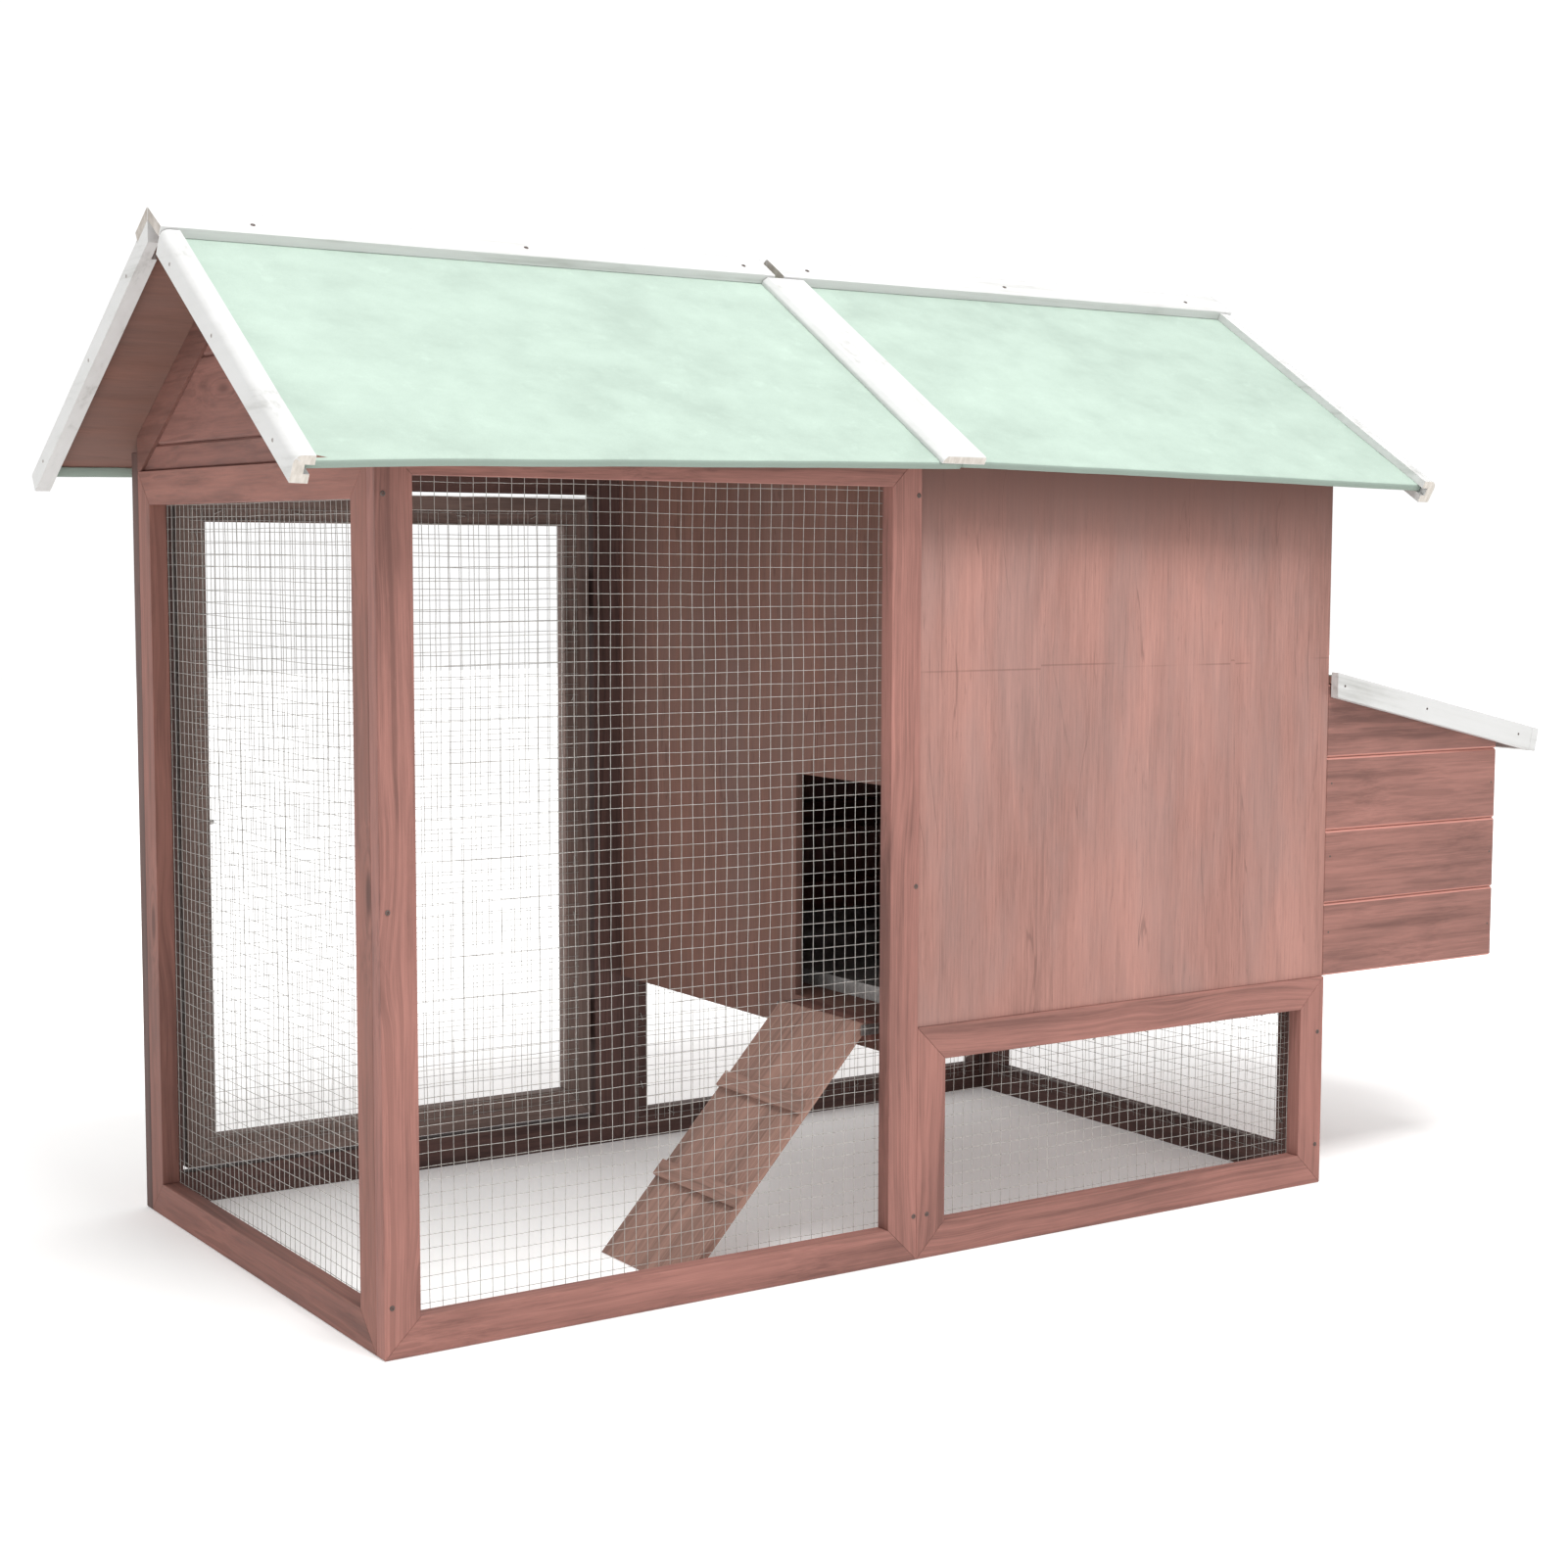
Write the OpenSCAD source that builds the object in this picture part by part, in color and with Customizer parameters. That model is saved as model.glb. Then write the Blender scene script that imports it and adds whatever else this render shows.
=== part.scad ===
/* [Footprint] */
// Length of the base from the run's end to the nest wall
base_len = 1240; // [1000:5:1500]
// Length of the wire run, up to the house
run_len = 625; // [500:5:800]
// Depth of the base, front face to rear face
base_depth = 686; // [560:2:800]

/* [Walls] */
// Height of the front and rear panels
wall_h = 882; // [760:1:1000]
// Height of the end panels, under the gables
end_h = 860; // [740:1:980]
// Height of the framed base under the house
base_h = 258; // [220:1:320]
// Width of the frame timber
bar_w = 38; // [30:1:50]
// Thickness of the frame timber
bar_t = 20; // [16:1:26]
// Thickness of the plywood sheets
ply_t = 9; // [6:1:12]

/* [Roof] */
// Slope of the roof in degrees
slope = 31; // [24:1:38]
// How far the ridge caps and barge boards pass the run's end
overhang_left = 92; // [60:1:130]
// How far they pass the nest end
overhang_right = 107; // [60:1:130]
// Slope length of the rear roof, felt included
rear_len = 462; // [440:1:485]
// Slope length of the front roof at the run's end
front_end_len = 477; // [440:1:485]
// Slope length of the run's front roof at the seam
front_seam_len = 447; // [440:1:485]
// Slope length of the house's front roof at the seam
house_seam_len = 443; // [440:1:485]
// Slope length of the front roof at the nest end
house_end_len = 467; // [440:1:485]
// How far the front roof leans outwards at the run's end
front_lean = 20; // [0:1:24]
// How far it leans the same way at the nest end
house_lean = 10; // [0:1:24]
// Thickness of the roof boards
roof_t = 6; // [5:1:12]
// Thickness of the roofing felt
felt_t = 1.5; // [1:0.5:3]
// Width of each ridge cap board
cap_w = 45; // [36:1:60]
// Thickness of the ridge cap boards
cap_t = 12; // [9:1:16]
// Slope length at which the barge boards end
barge_len = 479; // [470:1:500]
// Extra length of the run's front barge board
barge_extra = 11; // [0:1:14]

/* [Wire mesh] */
// Distance between wires
wire_pitch = 13.5; // [12:0.5:26]
// Wire diameter
wire_d = 0.9; // [0.7:0.1:1.5]

/* [Pop hole and ramp] */
// Width of the pop hole
hole_w = 176; // [150:1:260]
// Height of the pop hole
hole_h = 260; // [220:1:300]
// Distance from the front face to the pop hole
hole_y = 70; // [50:1:200]
// Width of the ramp board
ramp_w = 168; // [130:1:220]
// Length of the ramp board
ramp_len = 347; // [335:1:380]
// Distance from the front face to the ramp
ramp_y = 50; // [40:1:80]

/* [Nest box] */
// Length of the nest box, outwards from the wall
nest_len = 302; // [240:1:340]
// Height of one cladding board
plank_h = 90; // [70:1:110]
// Fall of the nest lid in degrees
lid_fall = 12.5; // [8:0.5:18]
// Length of the nest lid along its fall
lid_len = 372; // [330:1:400]

/* [Doors] */
// Width of the run door's timber
door_bar_w = 35; // [30:1:45]
// Gap around the run door
run_gap = 5; // [3:0.5:6]
// Gap at the run door's hinges
run_hinge_gap = 7; // [6:1:14]
// Gap around the house door
door_gap = 3; // [2:0.5:5]
// Rail between the tray slot and the house door
slot_h = 26; // [22:1:40]

/* [Hidden] */

stain = [0.62, 0.41, 0.37];
stain_dark = [0.50, 0.33, 0.29];
white = [0.95, 0.95, 0.94];
green = [0.72, 0.88, 0.78];
zinc = [0.70, 0.71, 0.72];

joint_gap = 0.2;
house_len = base_len - run_len;
inner_depth = base_depth - 2 * bar_t;
rear_y = base_depth - bar_t;

// Roof: s runs down the slope from the apex of the underside, n is normal to it
roof_gap = 5.5;
apex_z = wall_h + roof_gap + base_depth / 2 * tan(slope);
skin_n = roof_t + felt_t;
cap_top_n = skin_n + cap_t;
cap_edge_s = cap_w - cap_top_n * tan(slope);
barge_w = 20;
barge_top_n = 17;
barge_low_n = -11;
groove_depth = 8;
batten_w = 56;
batten_t = 10;
batten_len = 452;
seam_x = run_len + 22;
cap_gap = 12;

// Doors in the rear wall
hinge_r = 4;
pin_r = 2;
pin_play = 0.05;
leaf_t = 2;
leaf_w = 24;
leaf_h = 60;
door_axis_y = base_depth + hinge_r;
run_door_x = bar_w + run_gap;
run_door_w = run_len - bar_w - run_hinge_gap - run_door_x;
run_door_z = bar_w + run_gap;
run_door_h = wall_h - 2 * bar_w - 2 * run_gap;
run_axis_x = run_len - bar_w - run_hinge_gap / 2;
house_door_x = run_len + bar_w + door_gap;
house_door_w = house_len - 2 * bar_w - 2 * door_gap;
house_door_z = base_h + slot_h + bar_w + door_gap;
house_door_h = wall_h - bar_w - door_gap - house_door_z;
house_axis_x = base_len - bar_w - door_gap / 2;

// Barrel bolt on the run door
bolt_z = 450;
bolt_r = 3;
bolt_y = base_depth + 8;
bolt_len = 46;

// Turn button on the house's rear frame
button_x = run_len + 25;
button_z = 580;
button_len = 60;
button_w = 14;
button_t = 6;
button_gap = 1.5;

// Ramp: hinge pin in front of the ledge; the lower end is cut flat where it meets the ground
ramp_x = run_len - 37;
ramp_z = 254.5;
ramp_t = 9;
ramp_angle = asin(ramp_z / norm([ramp_len, ramp_t / 2])) + atan(ramp_t / 2 / ramp_len);
cleat_w = 20;
cleat_t = 5;
cleat_side = 1;
cleat_places = [101, 224];
ledge_w = 30;
ledge_t = 20;
ear_t = 1.6;

// Nest box and its lid, hinged on the house's end wall
nest_y = 2;
nest_t = 12;
nest_z = base_h;
lid_axis_x = base_len + 4.5;
lid_axis_z = 633;
lid_under = -14.8;
lid_top = -5.8;
lid_trim_w = 12;
lid_trim_low = -31;
nest_hinges = [110, base_depth - 110];

// Droppings tray
tray_t = 1;
tray_rim = 18;
tray_x = run_len + 51;
tray_w = house_len - 102;

// How far the front barge boards turn, and how far the longer one reaches past its cap
barge_turn = atan(front_lean / barge_len);
house_turn = atan(house_lean / barge_len);
barge_reach = barge_len + barge_extra - cap_edge_s;

// The origin is under the middle of the whole object
left_x = -overhang_left - barge_reach * sin(barge_turn);
right_x = lid_axis_x + lid_len * cos(lid_fall) - sin(lid_fall);
front_s = cap_edge_s + barge_reach * cos(barge_turn) + barge_w * sin(barge_turn);
middle_x = (left_x + right_x) / 2;
middle_y = base_depth / 2 + (barge_len - front_s) * cos(slope) / 2;

module placed() {
    translate([-middle_x, -middle_y, 0]) children();
}

// Draws a flat XZ outline as a sheet from y = 0 to y = t
module upright(t) {
    translate([0, t, 0]) rotate([90, 0, 0]) linear_extrude(t) children();
}

// Turns a piece drawn along X so that it runs along Y, its thickness towards +X
module turned() {
    mirror([1, -1, 0]) children();
}

// The two posts of a mitred frame, each one stick
module stiles(w, h, t, bar = bar_w) {
    post = [[0, joint_gap], [bar - joint_gap, bar], [bar - joint_gap, h - bar], [0, h - joint_gap]];
    upright(t) {
        polygon(post);
        translate([w, 0]) mirror([1, 0]) polygon(post);
    }
}

// The bottom and top rails of a mitred frame
module rails(w, h, t, bar = bar_w) {
    stick = [[0, 0], [w, 0], [w - bar, bar], [bar, bar]];
    upright(t) {
        polygon(stick);
        translate([0, h]) mirror([0, 1]) polygon(stick);
    }
}

// Welded wire: upright wires, level wires behind them, and a selvedge that joins them
module wire_sheet(w, h) {
    across = floor(w / wire_pitch);
    up = floor(h / wire_pitch);
    side = (w - across * wire_pitch) / 2;
    foot = (h - up * wire_pitch) / 2;
    layer = wire_d + 0.05;
    edge = 1.4;
    for (i = [0 : across])
        translate([side + i * wire_pitch - wire_d / 2, 0, edge / 2]) cube([wire_d, wire_d, h - edge]);
    for (i = [0 : up])
        translate([edge / 2, layer, foot + i * wire_pitch - wire_d / 2]) cube([w - edge, wire_d, wire_d]);
    difference() {
        cube([w, layer + wire_d, h]);
        translate([edge, -1, edge]) cube([w - 2 * edge, layer + wire_d + 2, h - 2 * edge]);
    }
}

// Wire stapled behind a frame, lapping over its timber
module wire_behind(w, h, lap, bar = bar_w) {
    inset = bar - lap;
    translate([inset, 0, inset]) wire_sheet(w - 2 * inset, h - 2 * inset);
}

// Moves a piece drawn up the front roof slope onto it, from the apex of the underside
module on_front_slope() {
    translate([0, base_depth / 2, apex_z]) rotate([slope, 0, 0]) children();
}

module on_rear_slope() {
    translate([0, base_depth, 0]) mirror([0, 1, 0]) on_front_slope() children();
}

module on_both_slopes() {
    on_front_slope() children();
    on_rear_slope() children();
}

// Point of the roof's cross-section, as [y, z] on the front slope
function roof_point(s, n) =
    [base_depth / 2 - s * cos(slope) - n * sin(slope), apex_z - s * sin(slope) + n * cos(slope)];

function ridge_point(n) = [base_depth / 2, apex_z + n / cos(slope)];

// The same line just in front of the ridge, where the two halves of a piece part
function ridge_side(n) = ridge_point(n) - joint_gap / 2 * [1, tan(slope)];

// Extrudes a YZ outline along X, and its mirror image on the rear slope
module along_roof(from_x, to_x) {
    translate([from_x, 0, 0]) rotate([90, 0, 90]) linear_extrude(to_x - from_x) children();
}

module both_sides() {
    children();
    translate([0, base_depth, 0]) mirror([0, 1, 0]) children();
}

// Horizontal boards with chamfered edges, stacked from z = 0 to z = h
module planks(w, h, t, first) {
    rows = ceil((h - first) / plank_h);
    chamfer = 2.5;
    for (i = [0 : rows]) {
        low = i == 0 ? 0 : first + (i - 1) * plank_h;
        high = min(h, first + i * plank_h) - joint_gap;
        if (high - low > 3 * chamfer)
            translate([0, 0, low]) rotate([90, 0, 90]) linear_extrude(w)
                polygon([[chamfer, 0], [t, 0], [t, high - low], [chamfer, high - low],
                         [0, high - low - chamfer], [0, chamfer]]);
    }
}

// Two plates and their knuckles, along +Z, for a hinge pin at the origin.
// The fixed leaf goes towards +X and holds the pin; the swinging leaf goes towards -X.
module fixed_leaf() {
    third = leaf_h / 3;
    translate([hinge_r + 0.5, -hinge_r, 0]) cube([leaf_w, leaf_t, leaf_h]);
    for (z = [0, 2 * third]) translate([0, 0, z]) {
        cylinder(r = hinge_r, h = third - 0.3, $fn = 32);
        translate([0, -hinge_r, 0]) cube([hinge_r + 1, leaf_t, third - 0.3]);
    }
    cylinder(r = pin_r, h = leaf_h, $fn = 32);
}

module swinging_leaf() {
    third = leaf_h / 3;
    difference() {
        union() {
            translate([-hinge_r - 0.5 - leaf_w, -hinge_r, 0]) cube([leaf_w, leaf_t, leaf_h]);
            translate([0, 0, third]) {
                cylinder(r = hinge_r, h = third - 0.3, $fn = 32);
                translate([-hinge_r - 1, -hinge_r, 0]) cube([hinge_r + 1, leaf_t, third - 0.3]);
            }
        }
        cylinder(r = pin_r + pin_play, h = leaf_h, $fn = 32);
    }
}

function hinge_heights(z, h) = [z + 90, z + h - 90 - leaf_h];

module run_front_stiles() {
    color(stain) placed() stiles(run_len, wall_h, bar_t);
}

module run_front_rails() {
    color(stain) placed() rails(run_len, wall_h, bar_t);
}

module run_front_mesh() {
    color(zinc) placed() translate([0, bar_t, 0]) wire_behind(run_len, wall_h, 15);
}

module run_end_stiles() {
    color(stain) placed() translate([0, bar_t, 0]) turned() stiles(inner_depth, end_h, bar_t);
}

module run_end_rails() {
    color(stain) placed() translate([0, bar_t, 0]) turned() rails(inner_depth, end_h, bar_t);
}

module run_end_mesh() {
    color(zinc) placed() translate([bar_t, bar_t, 0]) turned() wire_behind(inner_depth, end_h, 15);
}

module run_rear_stiles() {
    color(stain) placed() translate([0, rear_y, 0]) stiles(run_len, wall_h, bar_t);
}

module run_rear_rails() {
    color(stain) placed() translate([0, rear_y, 0]) rails(run_len, wall_h, bar_t);
}

module run_door_stiles() {
    color(stain_dark) placed() translate([run_door_x, rear_y, run_door_z])
        stiles(run_door_w, run_door_h, bar_t, door_bar_w);
}

module run_door_rails() {
    color(stain_dark) placed() translate([run_door_x, rear_y, run_door_z])
        rails(run_door_w, run_door_h, bar_t, door_bar_w);
}

module run_door_mesh() {
    color(zinc) placed() translate([run_door_x, rear_y, run_door_z])
        mirror([0, 1, 0]) wire_behind(run_door_w, run_door_h, 18, door_bar_w);
}

module run_door_hinge_leaves() {
    color(zinc) placed() for (z = hinge_heights(run_door_z, run_door_h))
        translate([run_axis_x, door_axis_y, z]) swinging_leaf();
}

module house_door_hinge_leaves() {
    color(zinc) placed() for (z = hinge_heights(house_door_z, house_door_h))
        translate([house_axis_x, door_axis_y, z]) swinging_leaf();
}

module door_hinge_frame_leaves() {
    color(zinc) placed() {
        for (z = hinge_heights(run_door_z, run_door_h))
            translate([run_axis_x, door_axis_y, z]) fixed_leaf();
        for (z = hinge_heights(house_door_z, house_door_h))
            translate([house_axis_x, door_axis_y, z]) fixed_leaf();
    }
}

// Plate and two guides that the rod slides in
module bolt_base() {
    guide_w = 5;
    color(zinc) placed() difference() {
        translate([run_door_x, base_depth, bolt_z]) {
            translate([1, 0, -12]) cube([door_bar_w - 2, 2, 24]);
            for (x = [2, door_bar_w - 2 - guide_w])
                translate([x, 0, -6]) cube([guide_w, 14, 12]);
        }
        translate([run_door_x - 1, bolt_y, bolt_z]) rotate([0, 90, 0])
            cylinder(r = bolt_r + pin_play, h = bar_w + 2, $fn = 32);
    }
}

// The rod and its knob, which stands between the guides
module bolt_rod() {
    color(zinc) placed() translate([run_door_x + 2.5, bolt_y, bolt_z]) {
        rotate([0, 90, 0]) cylinder(r = bolt_r, h = bolt_len, $fn = 32);
        translate([bolt_len / 2 - 0.5, 0, 0]) rotate([-90, 0, 0]) cylinder(r = 2.5, h = 14, $fn = 32);
    }
}

module bolt_keeper() {
    color(zinc) placed() difference() {
        translate([bar_w - 24, base_depth, bolt_z]) {
            translate([0, 0, -12]) cube([24, 2, 24]);
            translate([14, 0, -6]) cube([10, 14, 12]);
        }
        translate([0, bolt_y, bolt_z]) rotate([0, 90, 0]) cylinder(r = bolt_r + 0.6, h = bar_w, $fn = 32);
    }
}

module base_front_frame() {
    color(stain) placed() translate([run_len, 0, 0]) {
        stiles(house_len, base_h, bar_t);
        rails(house_len, base_h, bar_t);
    }
}

module base_front_mesh() {
    color(zinc) placed() translate([run_len, bar_t, 0]) wire_behind(house_len, base_h - 13, 15);
}

module base_rear_frame() {
    color(stain) placed() translate([run_len, rear_y, 0]) {
        stiles(house_len, base_h, bar_t);
        rails(house_len, base_h, bar_t);
    }
}

module base_rear_mesh() {
    color(zinc) placed() translate([run_len, rear_y, 0])
        mirror([0, 1, 0]) wire_behind(house_len, base_h - 13, 15);
}

module base_end_frame() {
    color(stain) placed() translate([base_len - bar_t, bar_t, 0]) turned() {
        stiles(inner_depth, base_h, bar_t);
        rails(inner_depth, base_h, bar_t);
    }
}

module base_end_mesh() {
    color(zinc) placed() translate([base_len - bar_t, bar_t, 0])
        mirror([1, 0, 0]) turned() wire_behind(inner_depth, base_h - 13, 15);
}

// One plywood sheet, set back a little from the frame below it
module house_front_panel() {
    color(stain) placed() translate([run_len + 1, 3, base_h]) cube([house_len - 1, ply_t, wall_h - 4 - base_h]);
}

// Posts in the house's corners, the rails that the front sheet is nailed to, and the door's stops
module house_framing() {
    post_h = end_h - 20 - base_h;
    left = run_len + ply_t;
    right = base_len - ply_t - bar_w;
    stop_w = 10;
    stop_t = bar_t - 12 - 0.3;
    door_x = [run_len + bar_w, base_len - bar_w];
    door_z = [base_h + slot_h + bar_w, wall_h - bar_w];
    color(stain_dark) placed() {
        for (x = [left, right], y = [3 + ply_t, rear_y - bar_t])
            translate([x, y, base_h]) cube([bar_w, bar_t, post_h]);
        for (z = [base_h + 370, base_h + post_h - bar_w])
            translate([left + bar_w + joint_gap, 3 + ply_t, z])
                cube([right - left - bar_w - 2 * joint_gap, bar_t, bar_w]);
        for (x = [door_x[0], door_x[1] - stop_w])
            translate([x, rear_y, door_z[0]]) cube([stop_w, stop_t, door_z[1] - door_z[0]]);
        for (z = [door_z[0], door_z[1] - stop_w])
            translate([door_x[0] + stop_w, rear_y, z]) cube([door_x[1] - door_x[0] - 2 * stop_w, stop_t, stop_w]);
    }
}

module house_rear_stiles() {
    color(stain) placed() for (x = [run_len + joint_gap, base_len - bar_w])
        translate([x, rear_y, base_h]) cube([bar_w - joint_gap, bar_t, wall_h - base_h]);
}

module house_rear_rails() {
    color(stain) placed() for (z = [base_h + slot_h, wall_h - bar_w])
        translate([run_len + bar_w + joint_gap, rear_y, z])
            cube([house_len - 2 * bar_w - 2 * joint_gap, bar_t, bar_w]);
}

module house_door_panel() {
    color(stain) placed() translate([house_door_x, base_depth - 12, house_door_z])
        cube([house_door_w, 12, house_door_h]);
}

// Two ledges across the inside of the house door
module house_door_ledges() {
    color(stain_dark) placed() for (z = [70, house_door_h - 70 - bar_w])
        translate([house_door_x + 40, base_depth - 12 - 14, house_door_z + z]) cube([house_door_w - 80, 14, bar_w]);
}

module turn_button() {
    color(zinc) placed() translate([button_x, base_depth + button_gap, button_z]) difference() {
        union() {
            translate([-button_w / 2, 0, -button_len / 2 + button_w / 2])
                cube([button_w, button_t, button_len - button_w]);
            for (z = [-1, 1]) translate([0, 0, z * (button_len - button_w) / 2])
                rotate([-90, 0, 0]) cylinder(r = button_w / 2, h = button_t, $fn = 48);
        }
        translate([0, -1, 0]) rotate([-90, 0, 0]) cylinder(r = pin_r + pin_play, h = button_t + 2, $fn = 32);
    }
}

// Screw that the button turns on, with the washer behind it
module turn_button_screw() {
    color(zinc) placed() translate([button_x, base_depth, button_z]) rotate([-90, 0, 0]) {
        cylinder(r = 5, h = button_gap - 0.2, $fn = 32);
        cylinder(r = pin_r, h = button_gap + button_t + 1, $fn = 32);
        translate([0, 0, button_gap + button_t + 0.2]) cylinder(r = 4.5, h = 2, $fn = 32);
    }
}

// Wall between run and house, with the pop hole above the floor
module divider_panel() {
    low = base_h - bar_w;
    corner_z = apex_z - (base_depth / 2 - bar_t) * tan(slope) - 4;
    color(stain) placed() along_roof(run_len, run_len + ply_t) difference() {
        polygon([[bar_t, low], [rear_y, low], [rear_y, corner_z], [base_depth / 2, apex_z - 4], [bar_t, corner_z]]);
        translate([hole_y, base_h]) square([hole_w, hole_h]);
    }
}

module house_floor() {
    color(stain_dark) placed() translate([run_len + ply_t, bar_t, base_h - 12])
        cube([house_len - ply_t - bar_t, inner_depth, 12]);
}

module floor_bearers() {
    bearer_h = bar_w - 12;
    color(stain_dark) placed() for (x = [run_len + ply_t, base_len - 2 * bar_t - 2])
        translate([x, bar_t + 2, base_h - bar_w]) cube([bar_t, inner_depth - 4, bearer_h]);
}

// Folded sheet tray; its rear wall closes the slot and has a lip to pull
module droppings_tray() {
    low = base_h + 0.3;
    front = 40;
    back = base_depth - 2;
    color(zinc) placed() translate([tray_x, front, low]) {
        cube([tray_w, back - front, tray_t]);
        for (x = [0, tray_w - tray_t]) translate([x, 0, 0]) cube([tray_t, back - front, tray_rim]);
        cube([tray_w, tray_t, tray_rim]);
        translate([0, back - front - tray_t, 0]) cube([tray_w, tray_t, slot_h - 2]);
        translate([0, back - front - tray_t, slot_h - 3]) cube([tray_w, 16, tray_t]);
        translate([0, back - front + 14, slot_h - 12]) cube([tray_w, tray_t, 10]);
    }
}

// End wall of the house, with the way into the nest box
module house_end_panel() {
    sill = 32;
    side = 50;
    color(stain) placed() along_roof(base_len - ply_t, base_len) difference() {
        translate([3 + ply_t, base_h]) square([rear_y - 3 - ply_t, end_h - base_h]);
        translate([side, base_h + sill]) square([base_depth - 2 * side, 230]);
    }
}

// Mitred strips under the roof at both ends
module gable_rafters() {
    top = ridge_side(-joint_gap);
    low = ridge_side(-bar_w);
    foot_z = top[1] - (top[0] - bar_t) * tan(slope);
    reach_y = low[0] - (low[1] - end_h) / tan(slope);
    color(stain_dark) placed() for (x = [0, base_len - bar_t])
        both_sides() along_roof(x, x + bar_t) polygon([
            top, [bar_t, foot_z], [bar_t, end_h], [reach_y, end_h], low
        ]);
}

// Horizontal boards between the rafters, a little behind their faces
module gable_boards() {
    inset = 4;
    first = 29;
    peak = ridge_point(-bar_w - joint_gap)[1];
    half = (peak - end_h) / tan(slope);
    color(stain_dark) placed() for (x = [inset, base_len - inset - ply_t]) intersection() {
        translate([x, bar_t, end_h]) planks_across(inner_depth, peak - end_h, ply_t, first, x > run_len);
        along_roof(x - 1, x + ply_t + 1)
            polygon([[base_depth / 2 - half, end_h], [base_depth / 2 + half, end_h], [base_depth / 2, peak]]);
    }
}

// Planks that run along Y, their chamfers outwards
module planks_across(w, h, t, first, facing_right) {
    if (facing_right) translate([t, 0, 0]) mirror([1, 0, 0]) turned() planks(w, h, t, first);
    else turned() planks(w, h, t, first);
}

// Height of the lid's underside over the nest, at a distance along X from the lid's pin
function lid_line(x, n) = lid_axis_z + n / cos(lid_fall) - x * tan(lid_fall);

module nest_side_boards() {
    near = lid_line(base_len - lid_axis_x, lid_under - 0.5);
    far = lid_line(base_len + nest_len - lid_axis_x, lid_under - 0.5);
    color(stain) placed() both_sides() translate([base_len, nest_y, nest_z]) intersection() {
        planks(nest_len, near - nest_z, nest_t, plank_h);
        upright(nest_t + 1) polygon([[0, 0], [nest_len, 0], [nest_len, far - nest_z], [0, near - nest_z]]);
    }
}

module nest_end_boards() {
    top = lid_line(base_len + nest_len - lid_axis_x, lid_under - 0.5);
    width = base_depth - 2 * nest_y - 2 * nest_t;
    color(stain) placed() translate([base_len + nest_len - nest_t, nest_y + nest_t, nest_z])
        planks_across(width, top - nest_z, nest_t, plank_h, true);
}

module nest_floor() {
    color(stain_dark) placed() translate([base_len, nest_y + nest_t, nest_z])
        cube([nest_len - nest_t, base_depth - 2 * nest_y - 2 * nest_t, ply_t]);
}

// Square battens inside the nest's outer corners
module nest_corner_battens() {
    side = 20;
    x = base_len + nest_len - nest_t - side;
    top = lid_line(x + side - lid_axis_x, lid_under - 2);
    color(stain_dark) placed() both_sides()
        translate([x, nest_y + nest_t, nest_z + ply_t]) cube([side, side, top - nest_z - ply_t]);
}

// Lid parts are drawn along their fall, from the hinge pin
module on_lid() {
    translate([lid_axis_x, 0, lid_axis_z]) rotate([0, lid_fall, 0]) children();
}

// Place along the lid that stands plumb over the wall's face, at height n over the pin
function wall_cut(n) = (base_len + 1 - lid_axis_x - n * sin(lid_fall)) / cos(lid_fall);

module lid_slab(y, w, low, high, end) {
    translate([0, y, 0]) upright(w)
        polygon([[wall_cut(low), low], [end, low], [end, high], [wall_cut(high), high]]);
}

module nest_lid_panel() {
    color(stain_dark) placed() on_lid() lid_slab(0, base_depth, lid_under, lid_top, lid_len - lid_trim_w);
}

module nest_lid_felt() {
    color(green) placed() on_lid() lid_slab(0, base_depth, lid_top, lid_top + felt_t, lid_len - lid_trim_w);
}

// White strips on the lid's two sides and its outer edge
module nest_lid_trim() {
    color(white) placed() on_lid() {
        for (y = [-lid_trim_w, base_depth])
            lid_slab(y, lid_trim_w, lid_trim_low, -1, lid_len - lid_trim_w - joint_gap);
        translate([lid_len - lid_trim_w, -lid_trim_w, lid_trim_low])
            cube([lid_trim_w, base_depth + 2 * lid_trim_w, -1 - lid_trim_low]);
    }
}

// Swinging leaves screwed flat on the lid
module nest_hinge_lid_leaves() {
    lift = lid_top + felt_t;
    color(zinc) placed() for (y = nest_hinges) on_lid() translate([0, y - leaf_h / 2, 0]) difference() {
        union() {
            translate([2, 0, lift]) cube([leaf_w + 6, leaf_h, leaf_t]);
            translate([0, leaf_h / 3, 0]) rotate([-90, 0, 0]) cylinder(r = hinge_r, h = leaf_h / 3 - 0.3, $fn = 32);
        }
        rotate([-90, 0, 0]) cylinder(r = pin_r + pin_play, h = leaf_h, $fn = 32);
        for (side = [-1, leaf_h * 2 / 3 - 0.3])
            translate([-1, side, -hinge_r - 1]) cube([hinge_r + 1.5, leaf_h / 3 + 1.3, 2 * hinge_r + 2]);
    }
}

// Fixed leaves on the wall above the lid, with the pins
module nest_hinge_wall_leaves() {
    third = leaf_h / 3;
    color(zinc) placed() for (y = nest_hinges) translate([lid_axis_x, y - leaf_h / 2, lid_axis_z]) {
        for (along = [0, 2 * third]) translate([0, along, 0]) {
            rotate([-90, 0, 0]) cylinder(r = hinge_r, h = third - 0.3, $fn = 32);
            translate([base_len - lid_axis_x, 0, 0]) cube([leaf_t, third - 0.3, hinge_r + 2]);
        }
        rotate([-90, 0, 0]) cylinder(r = pin_r, h = leaf_h, $fn = 32);
        translate([base_len - lid_axis_x, 0, hinge_r + 1]) cube([leaf_t, leaf_h - 0.3, leaf_w]);
    }
}

// The ramp is drawn down its fall, from the pin; +Y here is the coop's +Y
module on_ramp() {
    translate([ramp_x, ramp_y, ramp_z]) mirror([1, 0, 0]) rotate([0, ramp_angle, 0]) children();
}

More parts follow.
